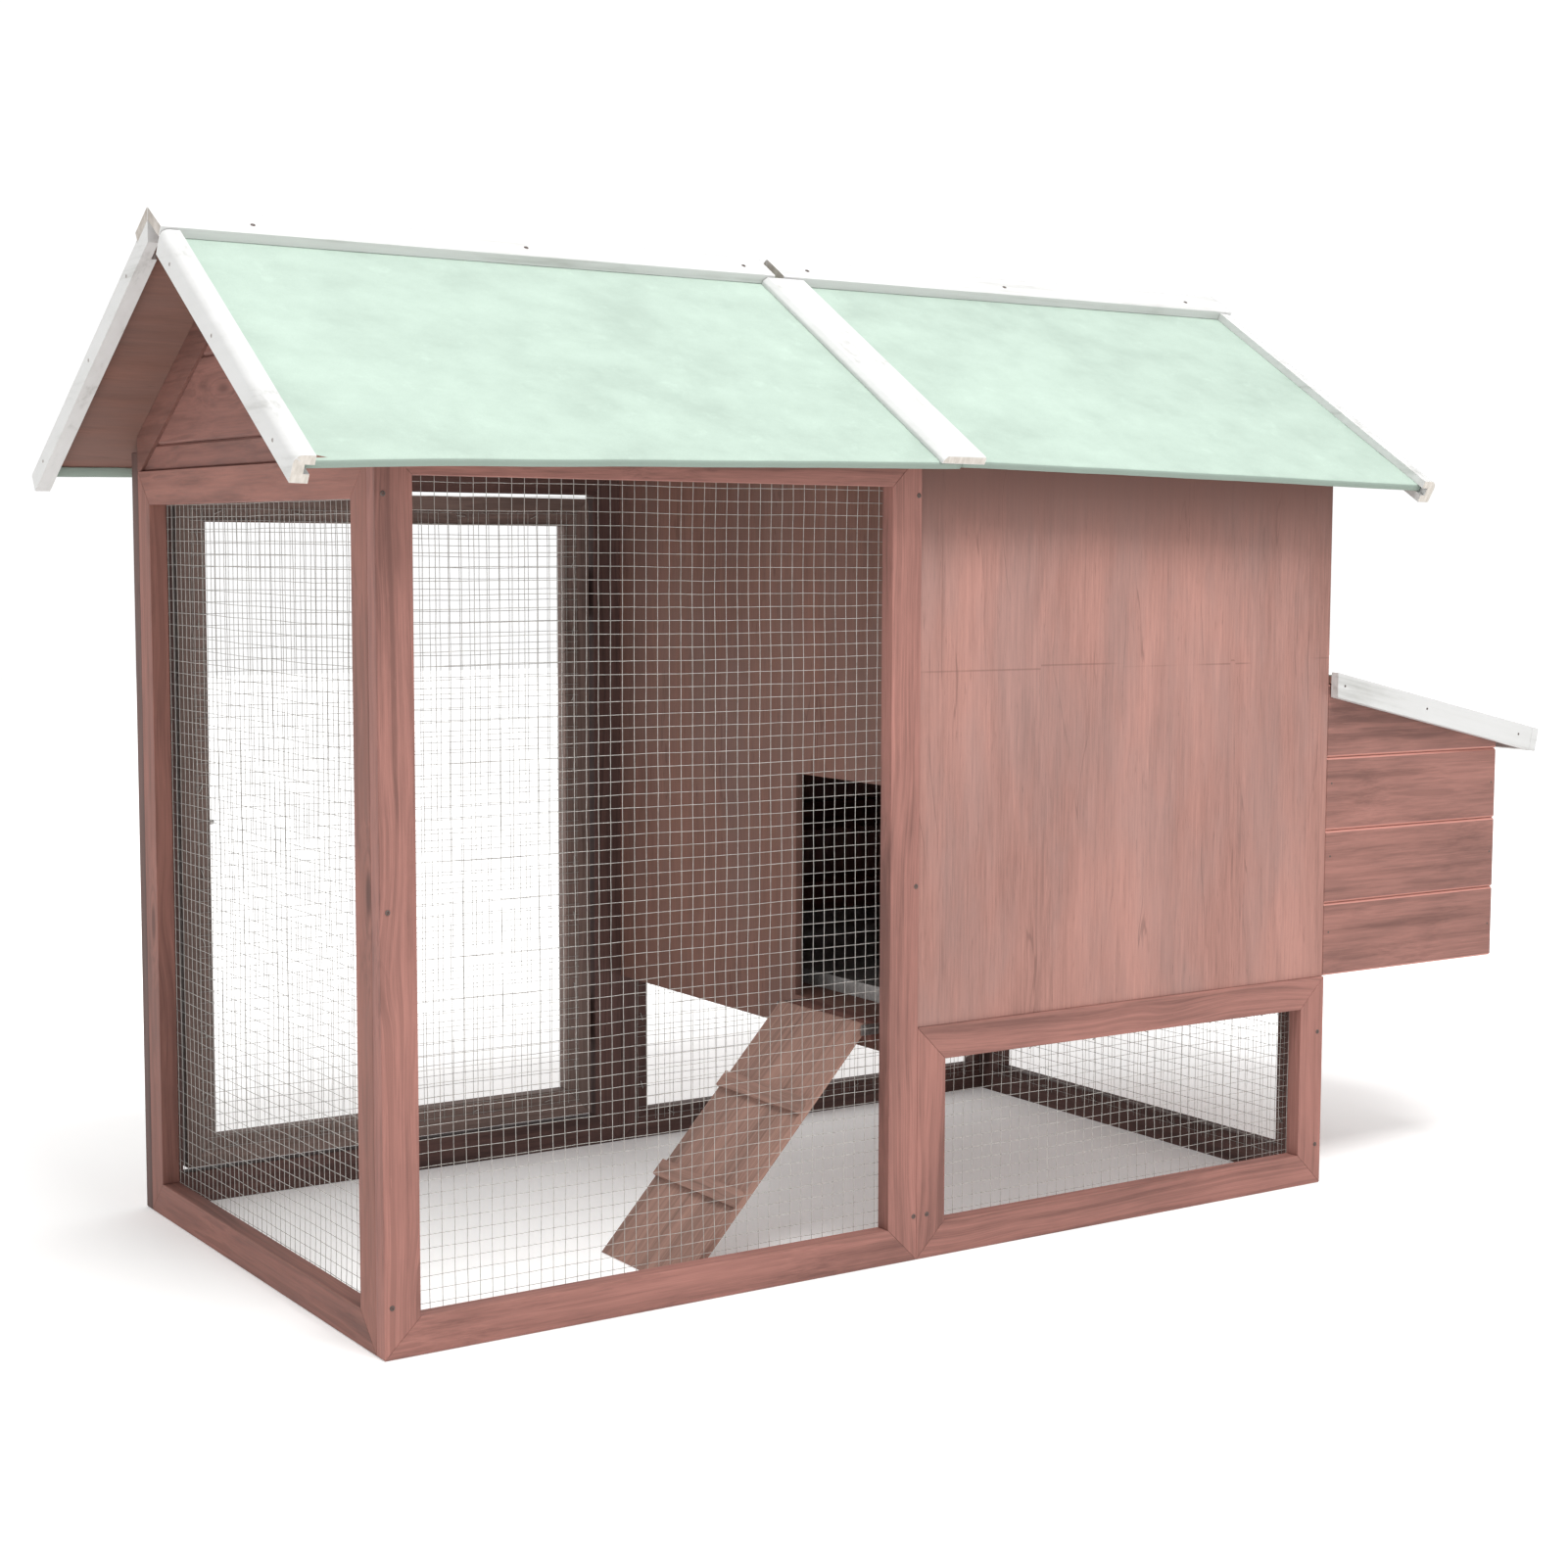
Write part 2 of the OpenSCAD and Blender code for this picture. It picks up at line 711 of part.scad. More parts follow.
module ramp_board() {
    half = ramp_t / 2;
    color(stain_dark) placed() on_ramp() difference() {
        union() {
            upright(ramp_w)
                polygon([[0, -half], [ramp_len - ramp_t / tan(ramp_angle), -half], [ramp_len, half], [0, half]]);
            rotate([-90, 0, 0]) cylinder(r = half, h = ramp_w, $fn = 48);
        }
        translate([0, -1, 0]) rotate([-90, 0, 0]) cylinder(r = pin_r + pin_play, h = ramp_w + 2, $fn = 32);
    }
}

module ramp_cleats() {
    color(stain_dark) placed() on_ramp() for (x = cleat_places)
        translate([x, -cleat_side, ramp_t / 2]) cube([cleat_w, ramp_w + 2 * cleat_side, cleat_t]);
}

module ramp_pin() {
    overhang = ear_t + 1;
    color(zinc) placed() translate([ramp_x, ramp_y - overhang - 2, ramp_z]) rotate([-90, 0, 0])
        cylinder(r = pin_r, h = ramp_w + 2 * overhang + 4, $fn = 32);
}

// Flat straps on the ledge's ends that hold the pin
module ramp_brackets() {
    strap = [ledge_w + 8, ear_t, 12];
    color(zinc) placed() for (y = [ramp_y - 1 - ear_t, ramp_y + ramp_w + 1]) difference() {
        translate([ramp_x - 5, y, ramp_z - 8.5]) cube(strap);
        translate([ramp_x, y - 1, ramp_z]) rotate([-90, 0, 0]) cylinder(r = pin_r, h = ear_t + 2, $fn = 32);
    }
}

// Batten under the pop hole that the ramp hangs from
module ramp_ledge() {
    color(stain_dark) placed() translate([run_len - ledge_w, ramp_y - 1, base_h - ledge_t])
        cube([ledge_w, ramp_w + 2, ledge_t]);
}

// A sheet on the slope. Each end has its X at the cap's edge, its slope length, and its lean per length.
module slope_sheet(left, right, low_n, t) {
    function lean_x(end, s) = end[0] - (s - cap_edge_s) * end[2];
    top = joint_gap / 2;
    translate([0, 0, low_n]) linear_extrude(t)
        polygon([[lean_x(left, top), -top], [lean_x(right, top), -top],
                 [lean_x(right, right[1]), -right[1]], [lean_x(left, left[1]), -left[1]]]);
}

module slope_board(left, right) {
    short = [0, felt_t + 0.1, 0];
    slope_sheet(left - short, right - short, 0, roof_t);
}

// Space wider and higher than a sheet, down to some distance from its lower edge
module slope_space(left, right, short, low_n, t) {
    widen = [1, short - 1, 0];
    translate([0, 1, 0]) slope_sheet(left - widen, right - [-1, short - 1, 0], low_n, t);
}

// Felt on the board, folded over its lower edge and nailed underneath
module slope_felt(left, right) {
    flap = 20;
    difference() {
        slope_sheet(left, right, -felt_t, skin_n + felt_t);
        slope_space(left, right, felt_t, 0, roof_t);
        slope_space(left, right, flap, -felt_t - 1, felt_t + 2);
    }
}

run_roof_x = -overhang_left + barge_w - groove_depth;
house_roof_x = base_len + overhang_right - barge_w + groove_depth;

// Each end of each roof section
run_front = [[run_roof_x, front_end_len, front_lean / barge_len], [seam_x - 1, front_seam_len, 0]];
house_front = [[seam_x + 1, house_seam_len, 0], [house_roof_x, house_end_len, house_lean / barge_len]];
run_rear = [[run_roof_x, rear_len, 0], [seam_x - 1, rear_len, 0]];
house_rear = [[seam_x + 1, rear_len, 0], [house_roof_x, rear_len, 0]];

module roof_run_boards() {
    color(stain_dark) placed() {
        on_front_slope() slope_board(run_front[0], run_front[1]);
        on_rear_slope() slope_board(run_rear[0], run_rear[1]);
    }
}

module roof_house_boards() {
    color(stain_dark) placed() {
        on_front_slope() slope_board(house_front[0], house_front[1]);
        on_rear_slope() slope_board(house_rear[0], house_rear[1]);
    }
}

module roof_run_felt() {
    color(green) placed() {
        on_front_slope() slope_felt(run_front[0], run_front[1]);
        on_rear_slope() slope_felt(run_rear[0], run_rear[1]);
    }
}

module roof_house_felt() {
    color(green) placed() {
        on_front_slope() slope_felt(house_front[0], house_front[1]);
        on_rear_slope() slope_felt(house_rear[0], house_rear[1]);
    }
}

// One pair of boards over each roof section, meeting at the ridge
module ridge_caps() {
    ends = [[-overhang_left, seam_x - 15], [seam_x - 15 + cap_gap, base_len + overhang_right]];
    under = skin_n + 0.05;
    color(white) placed() for (x = ends) both_sides() along_roof(x[0], x[1])
        polygon([ridge_side(under), roof_point(cap_edge_s, under),
                 roof_point(cap_edge_s, cap_top_n), ridge_side(cap_top_n)]);
}

// Grooved board that holds one end of the roof, drawn down the slope
module barge(len) {
    round_r = 9;
    play = 0.3;
    web = barge_w - groove_depth - 1;
    arc = [for (turn = [90 : -15 : 0])
        [round_r - round_r * cos(turn), barge_top_n - round_r + round_r * sin(turn)]];
    rotate([90, 0, 0]) linear_extrude(len)
        polygon(concat([[0, barge_low_n], [barge_w - 3, barge_low_n], [barge_w - 3, -felt_t - play],
                        [web, -felt_t - play], [web, skin_n + play], [barge_w, skin_n + play],
                        [barge_w, barge_top_n]], arc));
}

// The barge boards at the run's end and at the nest end of one slope, turned in its plane
module barge_pair(left_len, right_len, left_turn, right_turn) {
    start = cap_edge_s + 1;
    translate([-overhang_left, -cap_edge_s, 0]) rotate([0, 0, -left_turn])
        translate([0, cap_edge_s - start, 0]) barge(left_len - start);
    translate([base_len + overhang_right, -cap_edge_s, 0]) rotate([0, 0, -right_turn])
        translate([0, cap_edge_s - start, 0]) mirror([1, 0, 0]) barge(right_len - start);
}

// The rear barge boards' thinned tops, which reach the ridge under the caps
module barge_tops() {
    play = 0.3;
    web = barge_w - groove_depth - 1;
    low_s = cap_edge_s + 3;
    for (x = [-overhang_left, base_len + overhang_right - web])
        translate([0, base_depth, 0]) mirror([0, 1, 0]) along_roof(x, x + web)
            polygon([ridge_side(barge_low_n), roof_point(low_s, barge_low_n),
                     roof_point(low_s, skin_n - play), ridge_side(skin_n - play)]);
}

module barge_boards() {
    color(white) placed() {
        on_front_slope() barge_pair(barge_len + barge_extra, barge_len - 3, barge_turn, house_turn);
        on_rear_slope() barge_pair(barge_len, barge_len, 0, 0);
        barge_tops();
    }
}

// Flat battens over the seam between the two roof sections
module seam_battens() {
    bevel = 5;
    start = cap_edge_s + 1;
    color(white) placed() on_both_slopes() translate([seam_x - 3 - batten_w / 2, -start, skin_n])
        rotate([90, 0, 0]) linear_extrude(batten_len - start)
            polygon([[0, 0], [batten_w, 0], [batten_w, batten_t - 2], [batten_w - 2, batten_t],
                     [bevel, batten_t], [0, batten_t - bevel]]);
}

// Screws through the outer faces of one slope's barge boards
module barge_screws(left_turn, right_turn, r, h) {
    for (s = [80, 232, 433]) {
        translate([-overhang_left, -cap_edge_s, 0]) rotate([0, 0, -left_turn])
            translate([0, cap_edge_s - s, 0]) rotate([0, -90, 0]) cylinder(r = r, h = h, $fn = 24);
        translate([base_len + overhang_right, -cap_edge_s, 0]) rotate([0, 0, -right_turn])
            translate([0, cap_edge_s - s, 0]) rotate([0, 90, 0]) cylinder(r = r, h = h, $fn = 24);
    }
}

// Heads of the screws that hold the frames and trim together
module screw_heads() {
    r = 2.8;
    h = 0.8;
    frame_screws = concat(
        [for (z = [51, 433, 826]) [8, z]],
        [for (z = [49, 414, 835]) [run_len - 4, z]],
        [[run_len + 14, 49], [base_len - 9, 49], [base_len - 9, 190]]
    );
    color(zinc) placed() {
        for (spot = frame_screws) translate([spot[0], 0, spot[1]]) {
            rotate([90, 0, 0]) cylinder(r = r, h = h, $fn = 24);
            translate([0, base_depth, 0]) rotate([-90, 0, 0]) cylinder(r = r, h = h, $fn = 24);
        }
        on_front_slope() barge_screws(barge_turn, house_turn, r, h);
        on_rear_slope() barge_screws(0, 0, r, h);
        on_both_slopes() for (x = [10, 320, seam_x - 48, seam_x + 40, 980, base_len + 40])
            translate([x, -(cap_edge_s - 20), cap_top_n]) cylinder(r = r, h = h, $fn = 24);
    }
}

run_front_stiles();
run_front_rails();
run_front_mesh();
run_end_stiles();
run_end_rails();
run_end_mesh();
run_rear_stiles();
run_rear_rails();
run_door_stiles();
run_door_rails();
run_door_mesh();
run_door_hinge_leaves();
bolt_base();
bolt_rod();
bolt_keeper();
base_front_frame();
base_front_mesh();
base_rear_frame();
base_rear_mesh();
base_end_frame();
base_end_mesh();
house_front_panel();
house_framing();
house_rear_stiles();
house_rear_rails();
house_door_panel();
house_door_ledges();
house_door_hinge_leaves();
door_hinge_frame_leaves();
turn_button();
turn_button_screw();
divider_panel();
house_floor();
floor_bearers();
droppings_tray();
house_end_panel();
gable_rafters();
gable_boards();
nest_side_boards();
nest_end_boards();
nest_floor();
nest_corner_battens();
nest_lid_panel();
nest_lid_felt();
nest_lid_trim();
nest_hinge_lid_leaves();
nest_hinge_wall_leaves();
ramp_board();
ramp_cleats();
ramp_pin();
ramp_brackets();
ramp_ledge();
roof_run_boards();
roof_house_boards();
roof_run_felt();
roof_house_felt();
ridge_caps();
barge_boards();
seam_battens();
screw_heads();
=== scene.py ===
import math
import random

import bmesh
import bpy
from mathutils import Matrix, Vector, noise


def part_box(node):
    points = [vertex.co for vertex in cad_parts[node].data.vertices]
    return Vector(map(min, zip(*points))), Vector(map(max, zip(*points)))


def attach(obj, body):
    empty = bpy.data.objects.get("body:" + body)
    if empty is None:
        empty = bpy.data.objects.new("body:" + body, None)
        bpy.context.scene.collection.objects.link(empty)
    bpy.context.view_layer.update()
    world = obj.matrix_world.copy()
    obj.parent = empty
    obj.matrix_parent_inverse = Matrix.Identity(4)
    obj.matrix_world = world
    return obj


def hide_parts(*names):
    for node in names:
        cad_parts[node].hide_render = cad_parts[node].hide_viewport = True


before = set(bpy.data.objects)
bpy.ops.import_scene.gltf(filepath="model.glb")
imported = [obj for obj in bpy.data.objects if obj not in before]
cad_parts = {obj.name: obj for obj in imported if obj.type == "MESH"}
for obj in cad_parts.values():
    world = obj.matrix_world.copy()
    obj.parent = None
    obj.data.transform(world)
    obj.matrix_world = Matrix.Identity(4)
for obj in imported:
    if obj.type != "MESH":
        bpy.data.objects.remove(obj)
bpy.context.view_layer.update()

MM = 0.001
SLOPE = math.radians(31)
LID_FALL = math.radians(12.5)
RAMP_FALL = math.radians(47.9)

# Driving dimensions of the coop, in metres. X, Y and Z are measured from the base's front left corner
BASE_LEN = 1.240
BASE_DEPTH = 0.686
RUN_LEN = 0.625
WALL_H = 0.882
TIMBER_W = 0.038
TIMBER_T = 0.020
HOUSE_RAIL_Z = 0.650
HOUSE_POST_X = 0.659

# Roof: N is measured out from the underside of the boards, S down the slope from the ridge
ROOF_T = 0.006
FELT_T = 0.0015
CAP_T = 0.012
CAP_W = 0.045
ROOF_GAP = 0.0055
OVERHANG_LEFT = 0.092
OVERHANG_RIGHT = 0.107
SEAM_X = RUN_LEN + 0.022
BARGE_LEN = 0.479
RUN_LEAN = 0.020 / BARGE_LEN
HOUSE_LEAN = 0.010 / BARGE_LEN
RUN_END_LEN = 0.477
RUN_SEAM_LEN = 0.447
HOUSE_SEAM_LEN = 0.443
HOUSE_END_LEN = 0.467
REAR_LEN = 0.462
CAP_TOP_N = ROOF_T + FELT_T + CAP_T
CAP_EDGE_S = CAP_W - CAP_TOP_N * math.tan(SLOPE)

# Lid of the nest box, and hinges of the two doors
LID_LEN = 0.372
LID_AXIS = Vector((BASE_LEN + 0.0045, 0, 0.633))
LID_TRIM_W = 0.012
LEAF_W = 0.024
LEAF_H = 0.060
LEAF_GAP = 0.0045
RUN_HINGE_X = RUN_LEN - TIMBER_W - 0.0035
HOUSE_HINGE_X = BASE_LEN - TIMBER_W - 0.0015

# Screws
SCREW_R = 2.7 * MM
SCREW_H = 0.7 * MM

# Welded wire and its staples
WIRE_PITCH = 0.0135
WIRE_D = 0.00066
STAPLE_PITCH = 0.085
STAPLE_MARGIN = 0.007
STAPLE_W = 0.010
STAPLE_D = 0.0011

# Camera, with its place measured from the base's front left corner, and lights
CAMERA_PLACE = (-0.947679, -2.185306, 0.777303)
CAMERA_YAW = math.radians(-35.108)
CAMERA_PITCH = math.radians(-5.293)
CAMERA_ROLL = math.radians(0.402)
CAMERA_LENS = 57.45
CAMERA_SHIFT = (-0.0691, -0.0016)
LAMP_TARGET = (0, 0, 0.5)
BRIGHT_SIDE = (0.55, 0.79, 0.28)

# Where the corner of the base is in the frame
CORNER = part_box("run_front_rails")[0] * Vector((1, 1, 0))
APEX_Z = WALL_H + ROOF_GAP + BASE_DEPTH / 2 * math.tan(SLOPE)

scene = bpy.context.scene


# ---------------------------------------------------------------- shader building

class Shader:
    """A material and short ways to add nodes to it."""

    def __init__(self, name):
        self.material = bpy.data.materials.new(name)
        self.material.use_nodes = True
        self.tree = self.material.node_tree
        self.bsdf = self.tree.nodes["Principled BSDF"]
        self.coords = self.add("ShaderNodeTexCoord")

    def add(self, kind, **settings):
        made = self.tree.nodes.new(kind)
        for key, value in settings.items():
            setattr(made, key, value)
        return made

    def put(self, socket, value):
        """Links a socket to another socket, or sets it to a value."""
        if isinstance(value, bpy.types.NodeSocket):
            self.tree.links.new(value, socket)
        elif value is not None:
            socket.default_value = value

    def math(self, operation, a, b=None, c=None, clamp=False):
        made = self.add("ShaderNodeMath", operation=operation, use_clamp=clamp)
        for socket, value in zip(made.inputs, (a, b, c)):
            self.put(socket, value)
        return made.outputs[0]

    def times(self, a, b):
        return self.math("MULTIPLY", a, b)

    def weighted(self, a, share_a, b, share_b):
        """Adds two values, each with its share."""
        return self.math("MULTIPLY_ADD", a, share_a, self.times(b, share_b))

    def axes(self, vector=None):
        made = self.add("ShaderNodeSeparateXYZ")
        self.put(made.inputs[0], vector or self.coords.outputs["Object"])
        return made.outputs

    def vector(self, x, y, z):
        made = self.add("ShaderNodeCombineXYZ")
        for socket, value in zip(made.inputs, (x, y, z)):
            self.put(socket, value)
        return made.outputs[0]

    def mapped(self, vector, scale=(1, 1, 1), place=(0, 0, 0), turn=(0, 0, 0)):
        made = self.add("ShaderNodeMapping")
        self.put(made.inputs["Vector"], vector)
        made.inputs["Location"].default_value = place
        made.inputs["Rotation"].default_value = turn
        made.inputs["Scale"].default_value = scale
        return made.outputs[0]

    def noise(self, vector, scale=1.0, detail=2.0, rough=0.5):
        made = self.add("ShaderNodeTexNoise")
        self.put(made.inputs["Vector"], vector)
        made.inputs["Scale"].default_value = scale
        made.inputs["Detail"].default_value = detail
        made.inputs["Roughness"].default_value = rough
        return made.outputs["Fac"]

    def patches(self, vector, scale, detail=2.0, rough=0.5, place=(0, 0, 0)):
        """Noise with its own scale along each axis."""
        return self.noise(self.mapped(vector, scale, place), detail=detail, rough=rough)

    def strands(self, along, across, deep, detail=2.0, rough=0.5):
        """Noise that is drawn out along the grain. Each axis is given as (value, scale)."""
        scaled = [self.times(value, scale) for value, scale in (along, across, deep)]
        return self.noise(self.vector(*scaled), detail=detail, rough=rough)

    def cells(self, vector, scale=1.0):
        made = self.add("ShaderNodeTexVoronoi")
        self.put(made.inputs["Vector"], vector)
        made.inputs["Scale"].default_value = scale
        return made.outputs["Distance"]

    def span(self, value, low, high, to_low=0.0, to_high=1.0):
        """Maps a value from one range to another, clamped and smooth."""
        made = self.add("ShaderNodeMapRange", interpolation_type="SMOOTHSTEP")
        self.put(made.inputs["Value"], value)
        made.inputs["From Min"].default_value = low
        made.inputs["From Max"].default_value = high
        made.inputs["To Min"].default_value = to_low
        made.inputs["To Max"].default_value = to_high
        return made.outputs["Result"]

    def ramp(self, value, stops):
        made = self.add("ShaderNodeValToRGB")
        self.put(made.inputs["Fac"], value)
        elements = made.color_ramp.elements
        while len(elements) < len(stops):
            elements.new(0.5)
        for element, (place, colour) in zip(elements, stops):
            element.position = place
            element.color = (*colour, 1)
        return made.outputs["Color"]

    def tone_ramp(self, value, places, tones):
        """Goes through the tones, each at its place along the value."""
        return self.ramp(value, list(zip(places, tones)))

    def mix(self, amount, a, b, blend="MIX"):
        made = self.add("ShaderNodeMix", data_type="RGBA", blend_type=blend)
        self.put(made.inputs["Factor"], amount)
        for socket, value in ((made.inputs[6], a), (made.inputs[7], b)):
            self.put(socket, (*value, 1) if isinstance(value, tuple) else value)
        return made.outputs[2]

    def finish(self, colour, rough, height=None, strength=0.3, depth=0.5 * MM,
               metallic=0.0, specular=0.4):
        """Connects colour, roughness and bump to the surface, and returns the material."""
        self.put(self.bsdf.inputs["Base Color"], colour)
        self.put(self.bsdf.inputs["Roughness"], rough)
        self.bsdf.inputs["Metallic"].default_value = metallic
        self.bsdf.inputs["Specular IOR Level"].default_value = specular
        if height is not None:
            bump = self.add("ShaderNodeBump")
            bump.inputs["Strength"].default_value = strength
            bump.inputs["Distance"].default_value = depth
            self.put(bump.inputs["Height"], height)
            self.put(self.bsdf.inputs["Normal"], bump.outputs["Normal"])
        return self.material


def shaded(colour, share):
    """The colour darker or lighter by the share."""
    return tuple(min(1, share * c) for c in colour)


def shades(colour, spread=0.40):
    """Dark, middle and light tones of a stain."""
    return tuple(shaded(colour, share) for share in (1 - spread, 1, 1 + spread * 0.85))


def grain_coords(shader, grain, turn=0.0, frame_box=None):
    """Object coordinates with the grain along the first axis.

    With a framed panel's box, the grain changes direction at the mitred corners."""
    source = shader.coords.outputs["Object"]
    if turn:
        source = shader.mapped(source, turn=(0, turn, 0))
    x, y, z = shader.axes(source)
    if frame_box is None:
        order = {"X": (x, y, z), "Y": (y, x, z), "Z": (z, x, y)}[grain]
        return shader.vector(*order)
    level = x if grain == "X" else y
    deep = y if grain == "X" else x
    axis = "XY".index(grain)
    low, high = frame_box
    from_side = shader.math("MINIMUM", shader.math("SUBTRACT", level, low[axis]),
                            shader.math("SUBTRACT", high[axis], level))
    from_edge = shader.math("MINIMUM", shader.math("SUBTRACT", z, low[2]),
                            shader.math("SUBTRACT", high[2], z))
    upright = shader.math("LESS_THAN", from_side, from_edge)
    picked = shader.add("ShaderNodeMix", data_type="VECTOR")
    shader.put(picked.inputs["Factor"], upright)
    shader.put(picked.inputs[4], shader.vector(level, z, deep))
    shader.put(picked.inputs[5], shader.vector(z, shader.math("ADD", level, 3.7), deep))
    return picked.outputs[1]


def wood(name, grain, tones, seed=0.0, knots=1.0, turn=0.0, frame_box=None, chamfer_highlight=0.0,
         inner=None):
    """Stained softwood: growth lines that bend around ringed knots, fibres, blotchy stain, pale scuffs.

    The edge setting is how pale the faces and chamfers that turn up or down are painted, a painted
    highlight. inner is (outward direction, tint): faces that don't look outwards have that tint over their
    stain, as painted shade."""
    shader = Shader(name)
    dark = tones[0]
    light = tones[2]
    base = shader.mapped(grain_coords(shader, grain, turn, frame_box),
                         place=(seed * 1.7, seed * 0.9, seed * 1.3))
    along, across, deep = shader.axes(base)

    knot_far = shader.cells(shader.mapped(base, scale=(4.2, 15, 15)))
    knot_here = shader.span(shader.patches(base, (1.9, 6, 6), detail=1), 0.52, 0.57)
    knot = shader.times(shader.times(shader.span(knot_far, 0.13, 0.05), knot_here), knots)
    uneven = shader.times(shader.patches(base, (20, 60, 60)), 3.5)
    rings = shader.math("SINE", shader.math("MULTIPLY_ADD", knot_far, 70, uneven))
    ringed = shader.times(shader.span(knot_far, 0.30, 0.12), shader.times(knot_here, knots))
    bend = shader.times(shader.span(knot_far, 0.50, 0.0, 0.0, 0.011), knot_here)

    wave = shader.times(shader.patches(base, (2.4, 7, 7)), 0.040)
    bent = shader.math("ADD", shader.math("ADD", across, wave), bend)
    lines = shader.strands((along, 1.6), (bent, 105), (deep, 60), detail=3, rough=0.62)
    fibres = shader.strands((along, 16), (bent, 900), (deep, 700), rough=0.7)
    blotch = shader.patches(base, (3.4, 18, 18), detail=5, rough=0.65)

    tone = shader.math("MULTIPLY_ADD", blotch, 0.40, shader.weighted(lines, 0.52, fibres, 0.24))
    colour = shader.tone_ramp(tone, (0.45, 0.58, 0.71), tones)
    late = shader.span(lines, 0.56, 0.64)
    colour = shader.mix(shader.times(late, 0.40), colour, shaded(dark, 0.68))
    circles = shader.times(ringed, shader.span(rings, 0.2, 0.9, 0.0, 0.24))
    heart = shader.math("MAXIMUM", circles, shader.times(knot, 0.70))
    colour = shader.mix(heart, colour, shaded(dark, 0.50))
    smudge = shader.span(shader.patches(base, (11, 34, 34), detail=4, rough=0.6), 0.63, 0.74)
    colour = shader.mix(shader.times(smudge, 0.14), colour, shaded(dark, 0.62))
    scuff = shader.span(shader.patches(base, (30, 160, 160), detail=5, rough=0.75), 0.64, 0.75)
    colour = shader.mix(shader.times(scuff, 0.32), colour, shaded(light, 1.3))

    normal = shader.coords.outputs["Normal"]
    # painted shade: faces that don't look outwards get the tint over their stain
    if inner:
        outward_axis, tint = inner
        facing = shader.add("ShaderNodeVectorMath", operation="DOT_PRODUCT")
        shader.put(facing.inputs[0], normal)
        facing.inputs[1].default_value = outward_axis
        colour = shader.mix(shader.span(facing.outputs["Value"], 0.7, 0.3), colour, tint, "MULTIPLY")
    # painted highlight: faces and chamfers that turn up or down are made paler
    if chamfer_highlight:
        level = shader.math("ABSOLUTE", shader.axes(normal)["Z"])
        colour = shader.mix(shader.span(level, 0.22, 0.50, 0.0, chamfer_highlight), colour, shaded(light, 1.9))
    roughness = shader.span(shader.math("ADD", fibres, blotch), 0.6, 1.4, 0.58, 0.78)
    height = shader.weighted(fibres, 0.45, lines, 0.6)
    return shader.finish(colour, roughness, height, strength=0.45, specular=0.30)


def plywood(name, grain, tones, seed=0.0, rail_line=None, post_line=None, eave=None):
    """Stained plywood: short fibres, a few long wavy cracks, and faint lines where timber lies behind.

    Under an eave, at the height given, a soft shadow is painted into the stain."""
    shader = Shader(name)
    dark, mid, light = tones
    deep_tone = shaded(dark, 0.62)
    base = shader.mapped(grain_coords(shader, grain), place=(seed * 1.3, seed * 0.7, seed))
    along, across, deep = shader.axes(base)
    sway = shader.times(shader.patches(base, (2.6, 5, 5), place=(2, 9, 4)), 0.11)
    bent = shader.math("ADD", across, sway)

    dashes = shader.strands((along, 30), (across, 620), (deep, 300), detail=3, rough=0.7)
    fibres = shader.patches(base, (14, 380, 300), detail=4, rough=0.75)
    figure = shader.strands((along, 1.7), (bent, 38), (deep, 40), detail=4, rough=0.62)
    blotch = shader.patches(base, (2.2, 6, 6), detail=4, place=(3, 5, 2))
    tone = shader.math("MULTIPLY_ADD", blotch, 0.40, shader.weighted(figure, 0.22, fibres, 0.44))
    colour = shader.tone_ramp(tone, (0.42, 0.54, 0.66), tones)

    dash = shader.span(dashes, 0.60, 0.70)
    colour = shader.mix(shader.times(dash, 0.48), colour, deep_tone)
    field = shader.strands((along, 1.5), (bent, 26), (deep, 20), detail=4)
    bands = shader.math("FRACT", shader.times(field, 5))
    contour = shader.math("ABSOLUTE", shader.math("SUBTRACT", bands, 0.5))
    here = shader.span(shader.patches(base, (5, 13, 9), detail=3, place=(4, 2, 1)), 0.50, 0.60)
    streak = shader.times(shader.span(contour, 0.045, 0.008), here)
    colour = shader.mix(shader.times(streak, 0.50), colour, deep_tone)
    fading = shader.patches(base, (3, 9, 9), detail=4, rough=0.6, place=(6, 3, 8))
    grey = sum(mid) / 3
    faded_tone = tuple(0.45 * c + 0.55 * grey for c in mid)
    colour = shader.mix(shader.span(fading, 0.40, 0.66, 0.0, 0.30), colour, faded_tone)
    scuffs = shader.patches(base, (8, 140, 120), detail=4, rough=0.6, place=(1, 8, 5))
    pale = shader.span(scuffs, 0.62, 0.74)
    colour = shader.mix(shader.times(pale, 0.30), colour, shaded(light, 1.25))

    place = shader.axes()
    # painted shadow of the eave: a ragged darker band just under the given height
    if eave is not None:
        ragged = shader.math("ADD", place["Z"], shader.times(blotch, 0.06))
        eave_shadow = shader.span(ragged, eave - 0.09, eave + 0.03)
        colour = shader.mix(shader.times(eave_shadow, 0.85), colour, deep_tone)
    for line, level in ((rail_line, place["Z"]), (post_line, place["X"])):
        if line is None:
            continue
        step = shader.times(shader.math("GREATER_THAN", blotch, 0.5), 0.004)
        off_line = shader.math("ABSOLUTE", shader.math("SUBTRACT", shader.math("ADD", level, step), line))
        broken = shader.span(shader.patches(base, (9, 9, 9), detail=3), 0.42, 0.60)
        mark = shader.times(shader.span(off_line, 0.0015, 0.0003), broken)
        colour = shader.mix(shader.times(mark, 0.42), colour, deep_tone)
    roughness = shader.span(fibres, 0.3, 0.7, 0.66, 0.84)
    cracks = shader.times(shader.math("MAXIMUM", streak, dash), 0.5)
    height = shader.math("SUBTRACT", shader.weighted(fibres, 0.5, dashes, 0.4), cracks)
    return shader.finish(colour, roughness, height, strength=0.4, specular=0.25)


